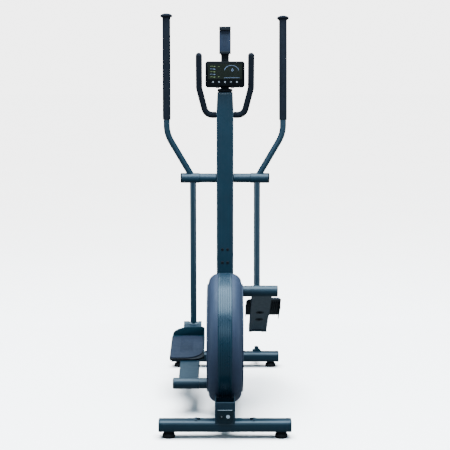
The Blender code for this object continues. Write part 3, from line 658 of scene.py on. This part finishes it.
def make_fixed_grips():
    """The foam on the fixed U-shaped handlebar, from beside the mast to a domed end."""
    for name, side in SIDES.items():
        low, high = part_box(f"fixed_grip_{name}")
        bar_z = low.z + FIXED_GRIP_RADIUS
        outer = side * (max(abs(low.x), abs(high.x)) - FIXED_GRIP_RADIUS)
        corners = [
            (side * FIXED_GRIP_START_X, PIVOT.y, bar_z), (side * FIXED_BAR_BEND_X, PIVOT.y, bar_z),
            (outer, PIVOT.y + FIXED_BAR_LEAN * 0.45, FIXED_BAR_SHOULDER_Z),
            (outer, PIVOT.y + FIXED_BAR_LEAN, high.z - FIXED_GRIP_RADIUS)]
        path = rounded_path(corners, 0.038, 12)
        radii = [FIXED_GRIP_RADIUS] * len(path)
        along = (path[-1] - path[-2]).normalized()
        end = path[-1].copy()
        for k in range(1, 9):
            turn = math.radians(88 * k / 8)
            path.append(end + along * 0.0146 * math.sin(turn))
            radii.append(max(FIXED_GRIP_RADIUS * math.cos(turn), 0.0004))
        piece = add(f"fixed_foam_{name}", tube_mesh(path, radii, 36), FOAM, "frame", "navy_foam",
                    f"fixed_grip_{name}")


# ---- pedals
TRAY_IN, TRAY_OUT = 0.092, 0.244
TRAY_REAR, TRAY_FRONT = 0.195 - ARM_LENGTH, 0.452 - ARM_LENGTH
SOLE_LOW, SOLE_HIGH = 0.0153, 0.0235
TOE_TOP = 0.0695
ARM_MIDDLE_X = 0.154
ARM_UNDERSIDE = -0.0149


def make_pedals():
    """The foot trays, drawn in the arm's own space with X outwards, then mirrored for the left."""
    for name, side in SIDES.items():
        place = ARM[name] @ Matrix.Diagonal((side, 1, 1, 1))
        outline = rounded_rectangle((TRAY_IN, TRAY_REAR), (TRAY_OUT, TRAY_FRONT),
                                    (0.046, 0.014, 0.012, 0.008), 10)
        shell = [slab(outline, SOLE_LOW, SOLE_HIGH, place, 0.0014)]
        for u, drop in ((TRAY_IN + 0.0006, 0.0040), (TRAY_OUT - 0.0036, -0.0060)):
            skirt = rounded_rectangle((u, TRAY_REAR + 0.040), (u + 0.0028, TRAY_FRONT - 0.012),
                                      (0.0012,) * 4, 3)
            shell.append(slab(skirt, drop, SOLE_LOW + 0.0010, place, 0.0006))
        add(f"{name}_tray_shell", joined(shell), BLACK, f"{name}_arm", "black_plastic",
            f"{name}_foot_tray")
        add(f"{name}_toe_wall", joined([toe_wall(place), side_lip(place)]), TOE_TEAL, f"{name}_arm",
            "teal_paint")
        rib_outline = rounded_rectangle((-0.0012, -0.105), (0.0012, 0.105), (0.001,) * 4, 3)
        rib = slab(rib_outline, -0.007, 0, None, 0.0004)
        middle = (TRAY_REAR + TRAY_FRONT) / 2 + 0.006
        for label, first, count, step in (
                ("inner", TRAY_IN + 0.0035, 3, 0.0058), ("outer", 0.2000, 5, 0.0088)):
            start = Matrix.Translation((first, middle, SOLE_LOW + 0.0002))
            ribs = repeated(rib, count, step=(step, 0, 0), place=place @ start, material=BLACK)
            add(f"{name}_tray_ribs_{label}", ribs, BLACK, f"{name}_arm", "black_plastic")
        make_pad(name, place)


def make_arm_bolts():
    """Two bolts sunk in the underside of each pedal arm, holding the tray."""
    for name, side in SIDES.items():
        well = [(0, 0), (0.0180, 0), (0.0180, 0.0008), (0.0170, 0.0014), (0.0154, 0.0004),
                (0.0092, 0.0004), (0.0088, 0.0034), (0.0056, 0.0040), (0.0050, 0.0014), (0, 0.0014)]
        first = facing((side * ARM_MIDDLE_X, -0.340, ARM_UNDERSIDE), (0, 0, -1))
        bolt = lathe_z(well, first, 36)
        pair = repeated(bolt, 2, step=(0, 0.122, 0), place=ARM[name], material=BLACK)
        add(f"{name}_arm_bolts", pair, BLACK, f"{name}_arm", "black_plastic")


def toe_wall(place):
    """The raised front of the tray: a curve that climbs from the outer side to full height."""
    edge = TRAY_OUT - 0.0035
    foot = 0.0300
    outline = [(TRAY_IN + 0.0006, SOLE_LOW + 0.001), (TRAY_OUT - 0.010, SOLE_LOW + 0.001),
               (edge, SOLE_LOW + 0.008)]
    climb = [math.radians(6 * k) for k in range(16)]
    outline += [(edge - 0.090 * (1 - math.cos(t)), foot + (TOE_TOP - foot) * math.sin(t))
                for t in climb]
    outline += arc((TRAY_IN + 0.0130, TOE_TOP - 0.0124), 0.0124, 90, 180, 6)
    return slab(outline, TRAY_FRONT - 0.0066, TRAY_FRONT - 0.0004, place, 0.0012, 2, "Y")


def side_lip(place):
    """The low wall along the tray's inner edge, rising to the toe."""
    start, end = TRAY_REAR + 0.06, TRAY_FRONT - 0.003
    top = [(start + (end - start) * k / 10, SOLE_HIGH + 0.003 + 0.031 * (k / 10) ** 1.8)
           for k in range(11)]
    outline = [(start, SOLE_LOW + 0.0022), (end, SOLE_LOW + 0.0022)] + top[::-1]
    bm = bmesh.new()
    face = bm.faces.new([bm.verts.new((TRAY_IN + 0.0010, v, w)) for v, w in outline])
    pushed = bmesh.ops.extrude_face_region(bm, geom=[face])
    moved = [v for v in pushed["geom"] if isinstance(v, bmesh.types.BMVert)]
    bmesh.ops.translate(bm, vec=(0.0035, 0, 0), verts=moved)
    return to_mesh(bm, place)


def make_pad(name, place):
    """The tread pad with its curved toe edge, the fillet ahead of it and the ribs on it."""
    inner, outer = TRAY_IN + 0.006, TRAY_OUT - 0.004
    back, toe = TRAY_REAR + 0.005, TRAY_FRONT - 0.010
    middle_u = inner + 0.45 * (outer - inner)
    curve = []
    for k in range(17):
        u = outer - (outer - inner) * k / 16
        curve.append((u, toe - 0.018 * abs(2 * (u - middle_u) / (outer - inner)) ** 2.2))
    outline = arc((inner + 0.074, back + 0.074), 0.074, 180, 270, 14)
    outline += arc((outer - 0.014, back + 0.014), 0.014, 270, 360, 6) + curve
    pad = slab(outline, SOLE_HIGH + 0.0003, SOLE_HIGH + 0.0052, place, 0.0016, 3)
    add(f"{name}_tread_pad", pad, PAD_SLATE, f"{name}_arm", "slate_plastic", f"{name}_foot_pad")
    fillet = [(outer + 0.0010, toe + 0.0050), (inner - 0.0010, toe + 0.0050)]
    fillet += [(u, v + 0.0008) for u, v in reversed(curve)]
    add(f"{name}_toe_fillet", slab(fillet, SOLE_HIGH - 0.0002, SOLE_HIGH + 0.0044, place, 0), TOE_TEAL,
        f"{name}_arm", "teal_paint")
    bead_outline = rounded_rectangle((-0.0290, -0.0016), (0.0290, 0.0016), (0.0014,) * 4, 4)
    bead = slab(bead_outline, 0, 0.0011, None, 0.0004)
    first = Matrix.Translation(((TRAY_IN + TRAY_OUT) / 2 + 0.004, TRAY_REAR + 0.072, SOLE_HIGH + 0.0048))
    treads = repeated(bead, 15, step=(0, 0.0098, 0), place=place @ first, material=PAD_SLATE)
    add(f"{name}_tread_ribs", treads, PAD_SLATE, f"{name}_arm", "slate_plastic")


# ---- base details
TUBE_CORNER = 0.0158
CAP_FIT = 0.0002
REAR_BOLT_X, FRONT_BOLT_X = 0.105, 0.092
BRACKET_HALF = 0.0415
SOCKET_Z = 0.096
PLUG_X, SOCKET_X = 0.012, -0.0135


def make_base_details():
    """The base tubes' end caps and feet, the saddle with its bolts, and the rollers."""
    tube = size_of("rear_stabilizer") / 2
    half_y, half_z = tube.y - CAP_FIT, tube.z - CAP_FIT
    for end in ("rear", "front"):
        y = centre_of(f"{end}_left_foot").y
        outline = rounded_rectangle((y - half_y, TUBE_Z - half_z), (y + half_y, TUBE_Z + half_z),
                                    (TUBE_CORNER,) * 4, 8)
        for name, side in SIDES.items():
            cap = end_cap(outline, y, side, tube.x)
            add(f"{end}_{name}_end_cap", cap, TEAL, "frame", "teal_paint")
            foot = centre_of(f"{end}_{name}_foot")
            neck = size_of(f"{end}_{name}_foot").z
            dome = [(0, 0), (0.0222, 0), (0.0242, 0.0010), (0.0250, 0.0032), (0.0250, 0.0108),
                    (0.0244, 0.0140), (0.0226, 0.0166), (0.0194, 0.0182), (0.0172, 0.0200),
                    (0.0166, neck), (0, neck)]
            under = Matrix.Translation((foot.x, foot.y, 0))
            add(f"{end}_{name}_rubber_foot", lathe_z(dome, under, 48), RUBBER, "frame",
                "black_rubber", f"{end}_{name}_foot")
    make_saddle()
    make_rollers()


def end_cap(outline, y, side, half):
    """A slightly crowned cap closing a base tube's end."""
    bm = bmesh.new()
    rings = []
    for out, shrink in ((-0.0120, 1.012), (0.0, 1.012), (0.0016, 0.985), (0.0026, 0.90), (0.0031, 0.60)):
        rings.append([
            bm.verts.new((side * (half + out), y + (u - y) * shrink, TUBE_Z + (v - TUBE_Z) * shrink))
            for u, v in outline])
    for here, there in zip(rings, rings[1:]):
        for k in range(len(here)):
            after = (k + 1) % len(here)
            bm.faces.new([here[k], here[after], there[after], there[k]])
    bm.faces.new(rings[0])
    bm.faces.new(rings[-1])
    return to_mesh(bm, None, 40)


def make_saddle():
    """The plate either side of the rear bracket, and a pair of bolts on each base tube."""
    rear_y = centre_of("rear_left_foot").y
    front_y = centre_of("front_left_foot").y
    outline = rounded_rectangle((-0.122, rear_y - 0.0215), (0.122, rear_y + 0.0215), (0.012,) * 4, 8)
    halves = []
    for side in SIDES.values():
        half_outline = [(side * max(abs(u), BRACKET_HALF), v) for u, v in outline if u * side > 0]
        halves.append(slab(half_outline, TUBE_TOP, TUBE_TOP + 0.0022, None, 0.0007))
    add("rear_saddle_plate", joined(halves), TEAL, "frame", "teal_paint")
    tube_bolts("rear_saddle_bolts", REAR_BOLT_X, rear_y, TUBE_TOP + 0.0018)
    tube_bolts("front_tube_bolts", FRONT_BOLT_X, front_y, TUBE_TOP - 0.0002)


def tube_bolts(name, x, y, z):
    """A bolt either side of the middle of a base tube."""
    bolt = socket_screw(0.0078, 0.0042)
    bolt.transform(Matrix.Translation((-x, y, z)))
    pair = repeated(bolt, 2, step=(2 * x, 0, 0), material=BLACK)
    add(name, pair, BLACK, "frame", "black_plastic")


def make_rollers():
    rim = size_of("left_roller").z / 2
    half_tyre = [(0.0088, 0.0056), (0.0088, rim - 0.0110), (0.0070, rim - 0.0104), (0.0070, rim - 0.0075),
                 (0.0088, rim - 0.0068), (0.0088, rim - 0.0032), (0.0080, rim - 0.0013),
                 (0.0062, rim - 0.0003), (0.0030, rim)]
    tyre = half_tyre + [(-x, radius) for x, radius in reversed(half_tyre)]
    for name in SIDES:
        centre = centre_of(f"{name}_roller")
        wheel = turned_mesh(tyre, centre.y, centre.z, 1, 56)
        wheel.transform(Matrix.Translation((centre.x, 0, 0)))
        add(f"{name}_roller_tyre", wheel, RUBBER, f"{name}_roller", "black_rubber", f"{name}_roller")


def make_cover_details():
    """The rear bracket's cover: a bright steel strip along its top edge as a painted edge highlight, a
    socket and a plug.
    """
    low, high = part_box("rear_cover")
    y = low.y
    # A thin bright steel strip along the cover's top edge stands in for light catching that edge: a painted
    # edge highlight.
    outline = rounded_rectangle((-0.029, high.z - 0.0016), (0.029, high.z - 0.0002), (0.0006,) * 4, 3)
    strip = slab(outline, y - 0.0006, y + 0.0010, None, 0.0002, 1, "Y")
    add("cover_top_line", strip, STEEL, "frame", "bright_steel")
    for label, x, outer, inner in (
            ("cover_plug_ring", PLUG_X, 0.0104, 0.0078), ("cover_socket_ring", SOCKET_X, 0.0074, 0.0046)):
        ring = [(outer, 0), (outer, 0.0012), (outer - 0.0009, 0.0018), (inner + 0.0006, 0.0018),
                (inner, 0.0012), (inner, 0)]
        made = lathe_z(ring, facing((x, y, SOCKET_Z), (0, -1, 0)), 40)
        add(label, made, BLACK, "frame", "black_plastic")
    plug = [(0, 0), (0.0074, 0), (0.0074, 0.0012), (0.0066, 0.0020), (0.0030, 0.0023), (0, 0.0023)]
    made = lathe_z(plug, facing((PLUG_X, y + 0.0004, SOCKET_Z), (0, -1, 0)), 40)
    add("cover_plug", made, SOCKET_WHITE, "frame", "black_plastic")
    tip = [(0, 0), (0.0030, 0), (0.0030, 0.0008), (0, 0.0011)]
    made = lathe_z(tip, facing((SOCKET_X, y, SOCKET_Z), (0, -1, 0)), 24)
    add("cover_socket_pin", made, STEEL, "frame", "bright_steel")


# ---- mast and pivots
JOINT_BOLT_X, JOINT_BOLT_Z = 0.0125, 0.539
JOINT_BOLT_RISE = 0.063
BUSH_FACE_X = 0.2165


def make_mast_details():
    """The bolts and top line of the mast, and the caps on its axle and the arms' bushes."""
    rear_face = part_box("mast")[0].y
    bolt = socket_screw(0.0068, 0.0030)
    bolt.transform(facing((-JOINT_BOLT_X, rear_face + 0.0004, JOINT_BOLT_Z), (0, -1, 0)))
    low_pair = repeated(bolt, 2, step=(2 * JOINT_BOLT_X, 0, 0), material=BLACK)
    high_pair = low_pair.copy()
    high_pair.transform(Matrix.Translation((0, 0, JOINT_BOLT_RISE)))
    add("mast_joint_bolts", joined([low_pair, high_pair]), BLACK, "frame", "black_plastic")
    line_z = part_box("mast")[1].z - 0.0075
    outline = rounded_rectangle((-0.0270, line_z - 0.0006), (0.0270, line_z + 0.0006), (0.0005,) * 4, 3)
    line = slab(outline, rear_face - 0.0004, rear_face + 0.0006, None, 0.0001, 1, "Y")
    add("mast_top_line", line, STEEL, "frame", "bright_steel")
    end = abs(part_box("pivot_axle")[0].x)
    for name, side in SIDES.items():
        cap = [(end - 0.0018, 0), (end - 0.0018, 0.0236), (end + 0.0012, 0.0236), (end + 0.0036, 0.0222),
               (end + 0.0046, 0.0180), (end + 0.0050, 0)]
        add(f"{name}_pivot_cap", turned_mesh(cap, PIVOT.y, PIVOT.z, side, 56), BLACK, "frame",
            "black_plastic")
        pin = centre_of(f"{name}_crank_pin")
        cap = [(BUSH_FACE_X - 0.0004, 0), (BUSH_FACE_X - 0.0004, 0.0228), (BUSH_FACE_X + 0.0012, 0.0224),
               (BUSH_FACE_X + 0.0028, 0.0200), (BUSH_FACE_X + 0.0034, 0)]
        add(f"{name}_bush_cap", turned_mesh(cap, pin.y, pin.z, side, 56), BLACK, f"{name}_arm",
            "black_plastic")


# ---- console
CONSOLE_LOW, CONSOLE_HIGH = -0.0685, 0.0495
CONSOLE_DEPTH = 0.0295
WINDOW_HALF_HEIGHT = 0.0365
WINDOW_FACE = -0.0022
MARK_BACK = -0.0021
GAUGE_X = 0.030
DROP_CENTRE = (0.034, 0.006)


def make_console():
    """The console's shell, its window, and what shows on and under it."""
    half_x = size_of("console_housing").x / 2
    outline = rounded_rectangle((-half_x, CONSOLE_LOW), (half_x, CONSOLE_HIGH), (0.0125,) * 4, 10)
    body = slab(outline, 0.0, CONSOLE_DEPTH, CONSOLE, 0.0030, 4, "Y")
    body.transform(Matrix.Translation(CONSOLE.to_3x3() @ Vector((0, -0.0012, 0))))
    add("console_shell", body, GLOSS, "frame", "black_gloss", "console_housing")
    half_w = size_of("console_display").x / 2
    outline = rounded_rectangle((-half_w, -WINDOW_HALF_HEIGHT), (half_w, WINDOW_HALF_HEIGHT),
                                (0.004,) * 4, 6)
    window = slab(outline, WINDOW_FACE, -0.0010, CONSOLE, 0.0003, 1, "Y")
    add("console_window", window, GLASS_BLACK, "frame", "screen", "console_display")
    make_readouts(half_w)
    make_keys()
    pads = []
    for side in SIDES.values():
        outline = rounded_rectangle((side * 0.034 - 0.009, -0.0725), (side * 0.034 + 0.009, -0.0682),
                                    (0.0018,) * 4, 4)
        pads.append(slab(outline, 0.004, 0.020, CONSOLE, 0.0008, 2, "Y"))
    add("console_bottom_pads", joined(pads), BLACK, "frame", "black_plastic")


def mark(outline):
    """A thin raised shape on the console's window."""
    return slab(outline, WINDOW_FACE - 0.0003, MARK_BACK, CONSOLE, 0, 1, "Y")


def bar(u, v, width, height):
    return mark(rounded_rectangle((u, v), (u + width, v + height), (height * 0.3,) * 4, 2))


def make_readouts(half_w):
    """Generic readouts: a column of short values, a gauge, a drop and a base line."""
    left = -half_w + 0.009
    green, blue = [], []
    for row in range(5):
        v = 0.024 - row * 0.0125
        target = blue if row in (1, 3) else green
        target.append(bar(left, v, 0.013, 0.0020))
        target.append(bar(left + 0.016, v - 0.0024, 0.0085, 0.0044))
    green += [bar(left + 0.036, 0.022, 0.008, 0.002), bar(left + 0.036, -0.026, 0.008, 0.003)]
    gauge = arc((GAUGE_X, -0.001), 0.034, 150, 30, 24) + arc((GAUGE_X, -0.001), 0.0315, 30, 150, 24)
    blue.append(mark([(u, 0.003 + v * 0.82) for u, v in gauge]))
    tick = [(0.0320, 0.006), (0.0345, 0.006), (0.0298, 0.0170), (0.0270, 0.0165)]
    for side in SIDES.values():
        blue.append(mark([(GAUGE_X + side * u, v) for u, v in tick]))
    drop = arc(DROP_CENTRE, 0.0052, 150, 390, 18) + [(DROP_CENTRE[0], 0.0165)]
    hollow = arc(DROP_CENTRE, 0.0030, 150, 390, 18) + [(DROP_CENTRE[0], 0.0115)]
    blue.append(ring_mark(drop, hollow))
    blue.append(bar(-0.004, -0.0300, 0.070, 0.0018))
    add("display_green_marks", joined(green), READOUT_GREEN, "frame", "screen")
    add("display_blue_marks", joined(blue), READOUT_BLUE, "frame", "screen")


def ring_mark(outer, inner):
    """A flat mark with a hole, from two outlines with the same number of points."""
    bm = bmesh.new()
    (out_a, in_a), (out_b, in_b) = [
        [[bm.verts.new((u, y, v)) for u, v in outline] for outline in (outer, inner)]
        for y in (WINDOW_FACE - 0.0003, MARK_BACK)]
    count = len(outer)
    for k in range(count):
        after = (k + 1) % count
        bm.faces.new([out_a[k], out_a[after], in_a[after], in_a[k]])
        bm.faces.new([out_b[k], in_b[k], in_b[after], out_b[after]])
        bm.faces.new([out_a[k], out_b[k], out_b[after], out_a[after]])
        bm.faces.new([in_a[k], in_a[after], in_b[after], in_b[k]])
    return to_mesh(bm, CONSOLE)


def make_keys():
    """Five domed keys, each with a small generic mark."""
    shapes = {
        1: arc((0, 0), 0.0021, 0, 330, 11), 2: [(-0.0016, -0.0022), (0.0024, 0), (-0.0016, 0.0022)],
        3: rounded_rectangle((-0.0023, -0.0016), (0.0023, 0.0016), (0.0008,) * 4, 3),
        4: [(-0.0022, -0.0008), (0.0022, -0.0008), (0, 0.0020)],
        5: [(-0.0020, -0.0020), (0.0020, -0.0020), (0.0020, 0.0020), (-0.0020, 0.0020)]}
    for index, outline in shapes.items():
        node = f"key_{index}"
        centre = centre_of(node)
        place = Matrix.Translation(centre) @ Matrix.Rotation(TILT, 4, "X")
        out = facing((0, 0, 0), (0, -1, 0))
        dome = [(0, -0.0030), (0.0059, -0.0030), (0.0059, 0.0022), (0.0054, 0.0028), (0.0040, 0.0031),
                (0, 0.0031)]
        add(f"{node}_dome", lathe_z(dome, place @ out, 40), BLACK, node, "black_plastic", node)
        sign = slab(outline, -0.0034, -0.0031, place, 0, 1, "Y")
        add(f"{node}_mark", sign, KEY_WHITE, node, "black_plastic")


# ---- phone clamp
def make_phone_clamp():
    """The clamp's back, shelf and sliding jaw, and the ribbed stem that carries it."""
    low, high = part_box("phone_cradle")
    half = high.x
    front = centre_of("phone_stem").y - 0.007
    back_plate = slab(rounded_rectangle((-half, low.z), (half, high.z), (0.004,) * 4, 6),
                      front - 0.004, front + 0.012, None, 0.0016, 3, "Y")
    shelf = slab(rounded_rectangle((-half, low.y), (half, front + 0.003), (0.004,) * 4, 6),
                 low.z, low.z + 0.013, None, 0.0018, 3)
    add("phone_clamp_back", back_plate, HOLDER_SLATE, "frame", "slate_plastic", "phone_cradle")
    add("phone_clamp_shelf", shelf, BLACK, "frame", "black_plastic")
    inlay = slab(rounded_rectangle((-0.0105, low.z + 0.036), (0.0105, high.z - 0.030), (0.002,) * 4, 5),
                 front - 0.0048, front - 0.0038, None, 0.0003, 1, "Y")
    add("phone_clamp_inlay", inlay, PAD_SLATE, "frame", "slate_plastic")
    jaw_low, jaw_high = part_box("phone_jaw")
    jaw_bottom = high.z + 0.0005
    jaw = slab(rounded_rectangle((-half, jaw_low.y), (half, jaw_high.y), (0.004,) * 4, 6),
               jaw_bottom, jaw_high.z, None, 0.0022, 3)
    tongue = slab(rounded_rectangle((-0.012, jaw_low.z), (0.012, jaw_bottom + 0.004), (0.002,) * 4, 4),
                  jaw_high.y - 0.004, jaw_high.y, None, 0.0006, 1, "Y")
    add("phone_jaw_shell", joined([jaw, tongue]), BLACK, "phone_jaw", "black_plastic", "phone_jaw")
    stem_low, stem_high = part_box("phone_stem")
    outline = rounded_rectangle((-0.0195, stem_low.y - 0.0012), (0.0195, stem_high.y - 0.0004),
                                (0.003,) * 4, 5)
    collar = slab(outline, stem_high.z - 0.0070, stem_high.z + 0.0020, None, 0.0008)
    add("phone_stem_collar", collar, BLACK, "frame", "black_plastic")
    rib = slab(rounded_rectangle((-0.0150, 0), (0.0150, 0.0030), (0.0012,) * 4, 3),
               stem_low.y - 0.0008, stem_low.y + 0.0006, None, 0.0003, 1, "Y")
    ribs = repeated(rib, 6, step=(0, 0, 0.0082), place=Matrix.Translation((0, 0, stem_low.z + 0.008)),
                    material=BLACK)
    add("phone_stem_ribs", ribs, BLACK, "frame", "black_plastic")


# ---- carried-over parts
def make_metalwork():
    """Painted and moulded parts keep their CAD shape with softened edges. Inner parts get a finish."""
    teal = ["main_beam", "rear_bracket", "rear_stabilizer", "front_stabilizer", "mast", "pivot_axle",
            "left_crank", "right_crank", "left_pedal_arm", "right_pedal_arm", "left_handlebar",
            "right_handlebar"]
    for node in teal:
        refined(node, TEAL, "teal_paint")
    refined("rear_cover", COVER_TEAL, "black_plastic", 0.0016)
    for node in ("mast_cap", "console_neck", "phone_stem"):
        refined(node, BLACK, "black_plastic", 0.0016)
    plain = {
        "fixed_handlebar": TEAL, "power_socket": BLACK, "axle_carrier": STEEL, "left_bearing": STEEL,
        "right_bearing": STEEL, "crank_axle": STEEL, "flywheel_axle": STEEL, "magnet_bracket": STEEL,
        "brake_motor": BLACK, "drive_pulley": BLACK, "drive_belt": RUBBER, "flywheel": IRON,
        "left_crank_pin": STEEL, "right_crank_pin": STEEL, "left_yoke_pin": STEEL,
        "right_yoke_pin": STEEL}
    for node, material in plain.items():
        obj = nodes[node]
        obj.data.materials.clear()
        obj.data.materials.append(material)


# ---- stage
DAYLIGHT = (0.64, 0.84, 1.0)
CAMERA_BEHIND = 3.995
CAMERA_HEIGHT = 1.437
CAMERA_DOWN = 8.37


def make_stage():
    """A pale floor with its own light, and a world that is white only to the camera."""
    bm = bmesh.new()
    bmesh.ops.create_grid(bm, x_segments=4, y_segments=4, size=60)
    floor = bpy.data.objects.new("studio_floor", to_mesh(bm))
    bpy.context.scene.collection.objects.link(floor)
    pale = Finish("pale_floor", 0.9)
    pale.colour((0.88, 0.875, 0.87), 0.01, 0.8)
    floor.data.materials.append(pale.material)
    floor.visible_diffuse = False
    floor.visible_glossy = False

    stage_only = bpy.data.collections.new("floor_lit")
    stage_only.objects.link(floor)
    sun = bpy.data.lights.new("floor_wash", "SUN")
    sun.energy = 16.5
    sun.angle = math.radians(50)
    wash = bpy.data.objects.new("floor_wash", sun)
    bpy.context.scene.collection.objects.link(wash)
    wash.light_linking.receiver_collection = stage_only

    world = bpy.data.worlds.new("studio")
    bpy.context.scene.world = world
    world.use_nodes = True
    tree = world.node_tree
    back = tree.nodes["Background"]
    path = tree.nodes.new("ShaderNodeLightPath")
    tint = tree.nodes.new("ShaderNodeValToRGB")
    tint.color_ramp.elements[0].color = (0.66, 0.86, 1.0, 1)
    tint.color_ramp.elements[1].color = (1, 1, 1, 1)
    tree.links.new(path.outputs["Is Camera Ray"], tint.inputs["Fac"])
    tree.links.new(tint.outputs["Color"], back.inputs["Color"])
    reach = tree.nodes.new("ShaderNodeMapRange")
    reach.inputs["To Min"].default_value = 0.26
    reach.inputs["To Max"].default_value = 4.6
    tree.links.new(path.outputs["Is Camera Ray"], reach.inputs["Value"])
    tree.links.new(reach.outputs["Result"], back.inputs["Strength"])


def softbox(name, place, aim, width, height, power):
    data = bpy.data.lights.new(name, "AREA")
    data.color = DAYLIGHT
    data.shape = "RECTANGLE"
    data.size = width
    data.size_y = height
    data.energy = power
    lamp = bpy.data.objects.new(name, data)
    lamp.location = place
    lamp.rotation_euler = (Vector(aim) - Vector(place)).to_track_quat("-Z", "Y").to_euler()
    bpy.context.scene.collection.objects.link(lamp)
    return lamp


def soft_fill(*settings):
    """A lamp that lifts the shadows and shows in no highlight."""
    lamp = softbox(*settings)
    lamp.visible_glossy = False
    lamp.visible_camera = False


def highlight_card(*settings):
    """A panel seen only in reflections."""
    lamp = softbox(*settings)
    lamp.visible_diffuse = False
    lamp.visible_camera = False


def make_lights():
    softbox("overhead", (0, -0.6, 3.6), (0, 0, 0.4), 3.4, 3.4, 340)
    softbox("front_fill", (0, -4.6, 2.6), (0, 0, 0.7), 2.6, 1.6, 26)
    highlight_card("far_card", (0, 4.2, 3.0), (0, 0, 0.7), 3.6, 1.6, 6)
    highlight_card("sky_card", (0, 2.3, 3.6), (0, 1.2, 0.4), 3.6, 2.8, 100)
    soft_fill("low_fill", (0, -4.4, 0.35), (0, 0, 0.7), 2.4, 0.8, 7)
    soft_fill("floor_bounce", (0, -1.5, 0.02), (0.1, 0, 0.6), 1.6, 1.2, 2)
    softbox("left_strip", (-2.6, -0.8, 1.4), (0, 0, 0.8), 0.7, 2.6, 30)
    softbox("right_strip", (2.6, -0.8, 1.4), (0, 0, 0.8), 0.7, 2.6, 30)


def make_camera():
    """Straight behind the machine, a little above its middle and looking slightly down."""
    data = bpy.data.cameras.new("camera")
    data.lens = 84.0
    data.sensor_width = 36.0
    camera = bpy.data.objects.new("camera", data)
    rear_tube = centre_of("rear_left_foot").y
    camera.location = (0, rear_tube - CAMERA_BEHIND, CAMERA_HEIGHT)
    camera.rotation_euler = (math.radians(90 - CAMERA_DOWN), 0, 0)
    bpy.context.scene.collection.objects.link(camera)
    bpy.context.scene.camera = camera


make_camera()
make_stage()
make_lights()
make_metalwork()
make_housing()
make_moving_grips()
make_fixed_grips()
make_pedals()
make_arm_bolts()
make_base_details()
make_cover_details()
make_mast_details()
make_console()
make_phone_clamp()
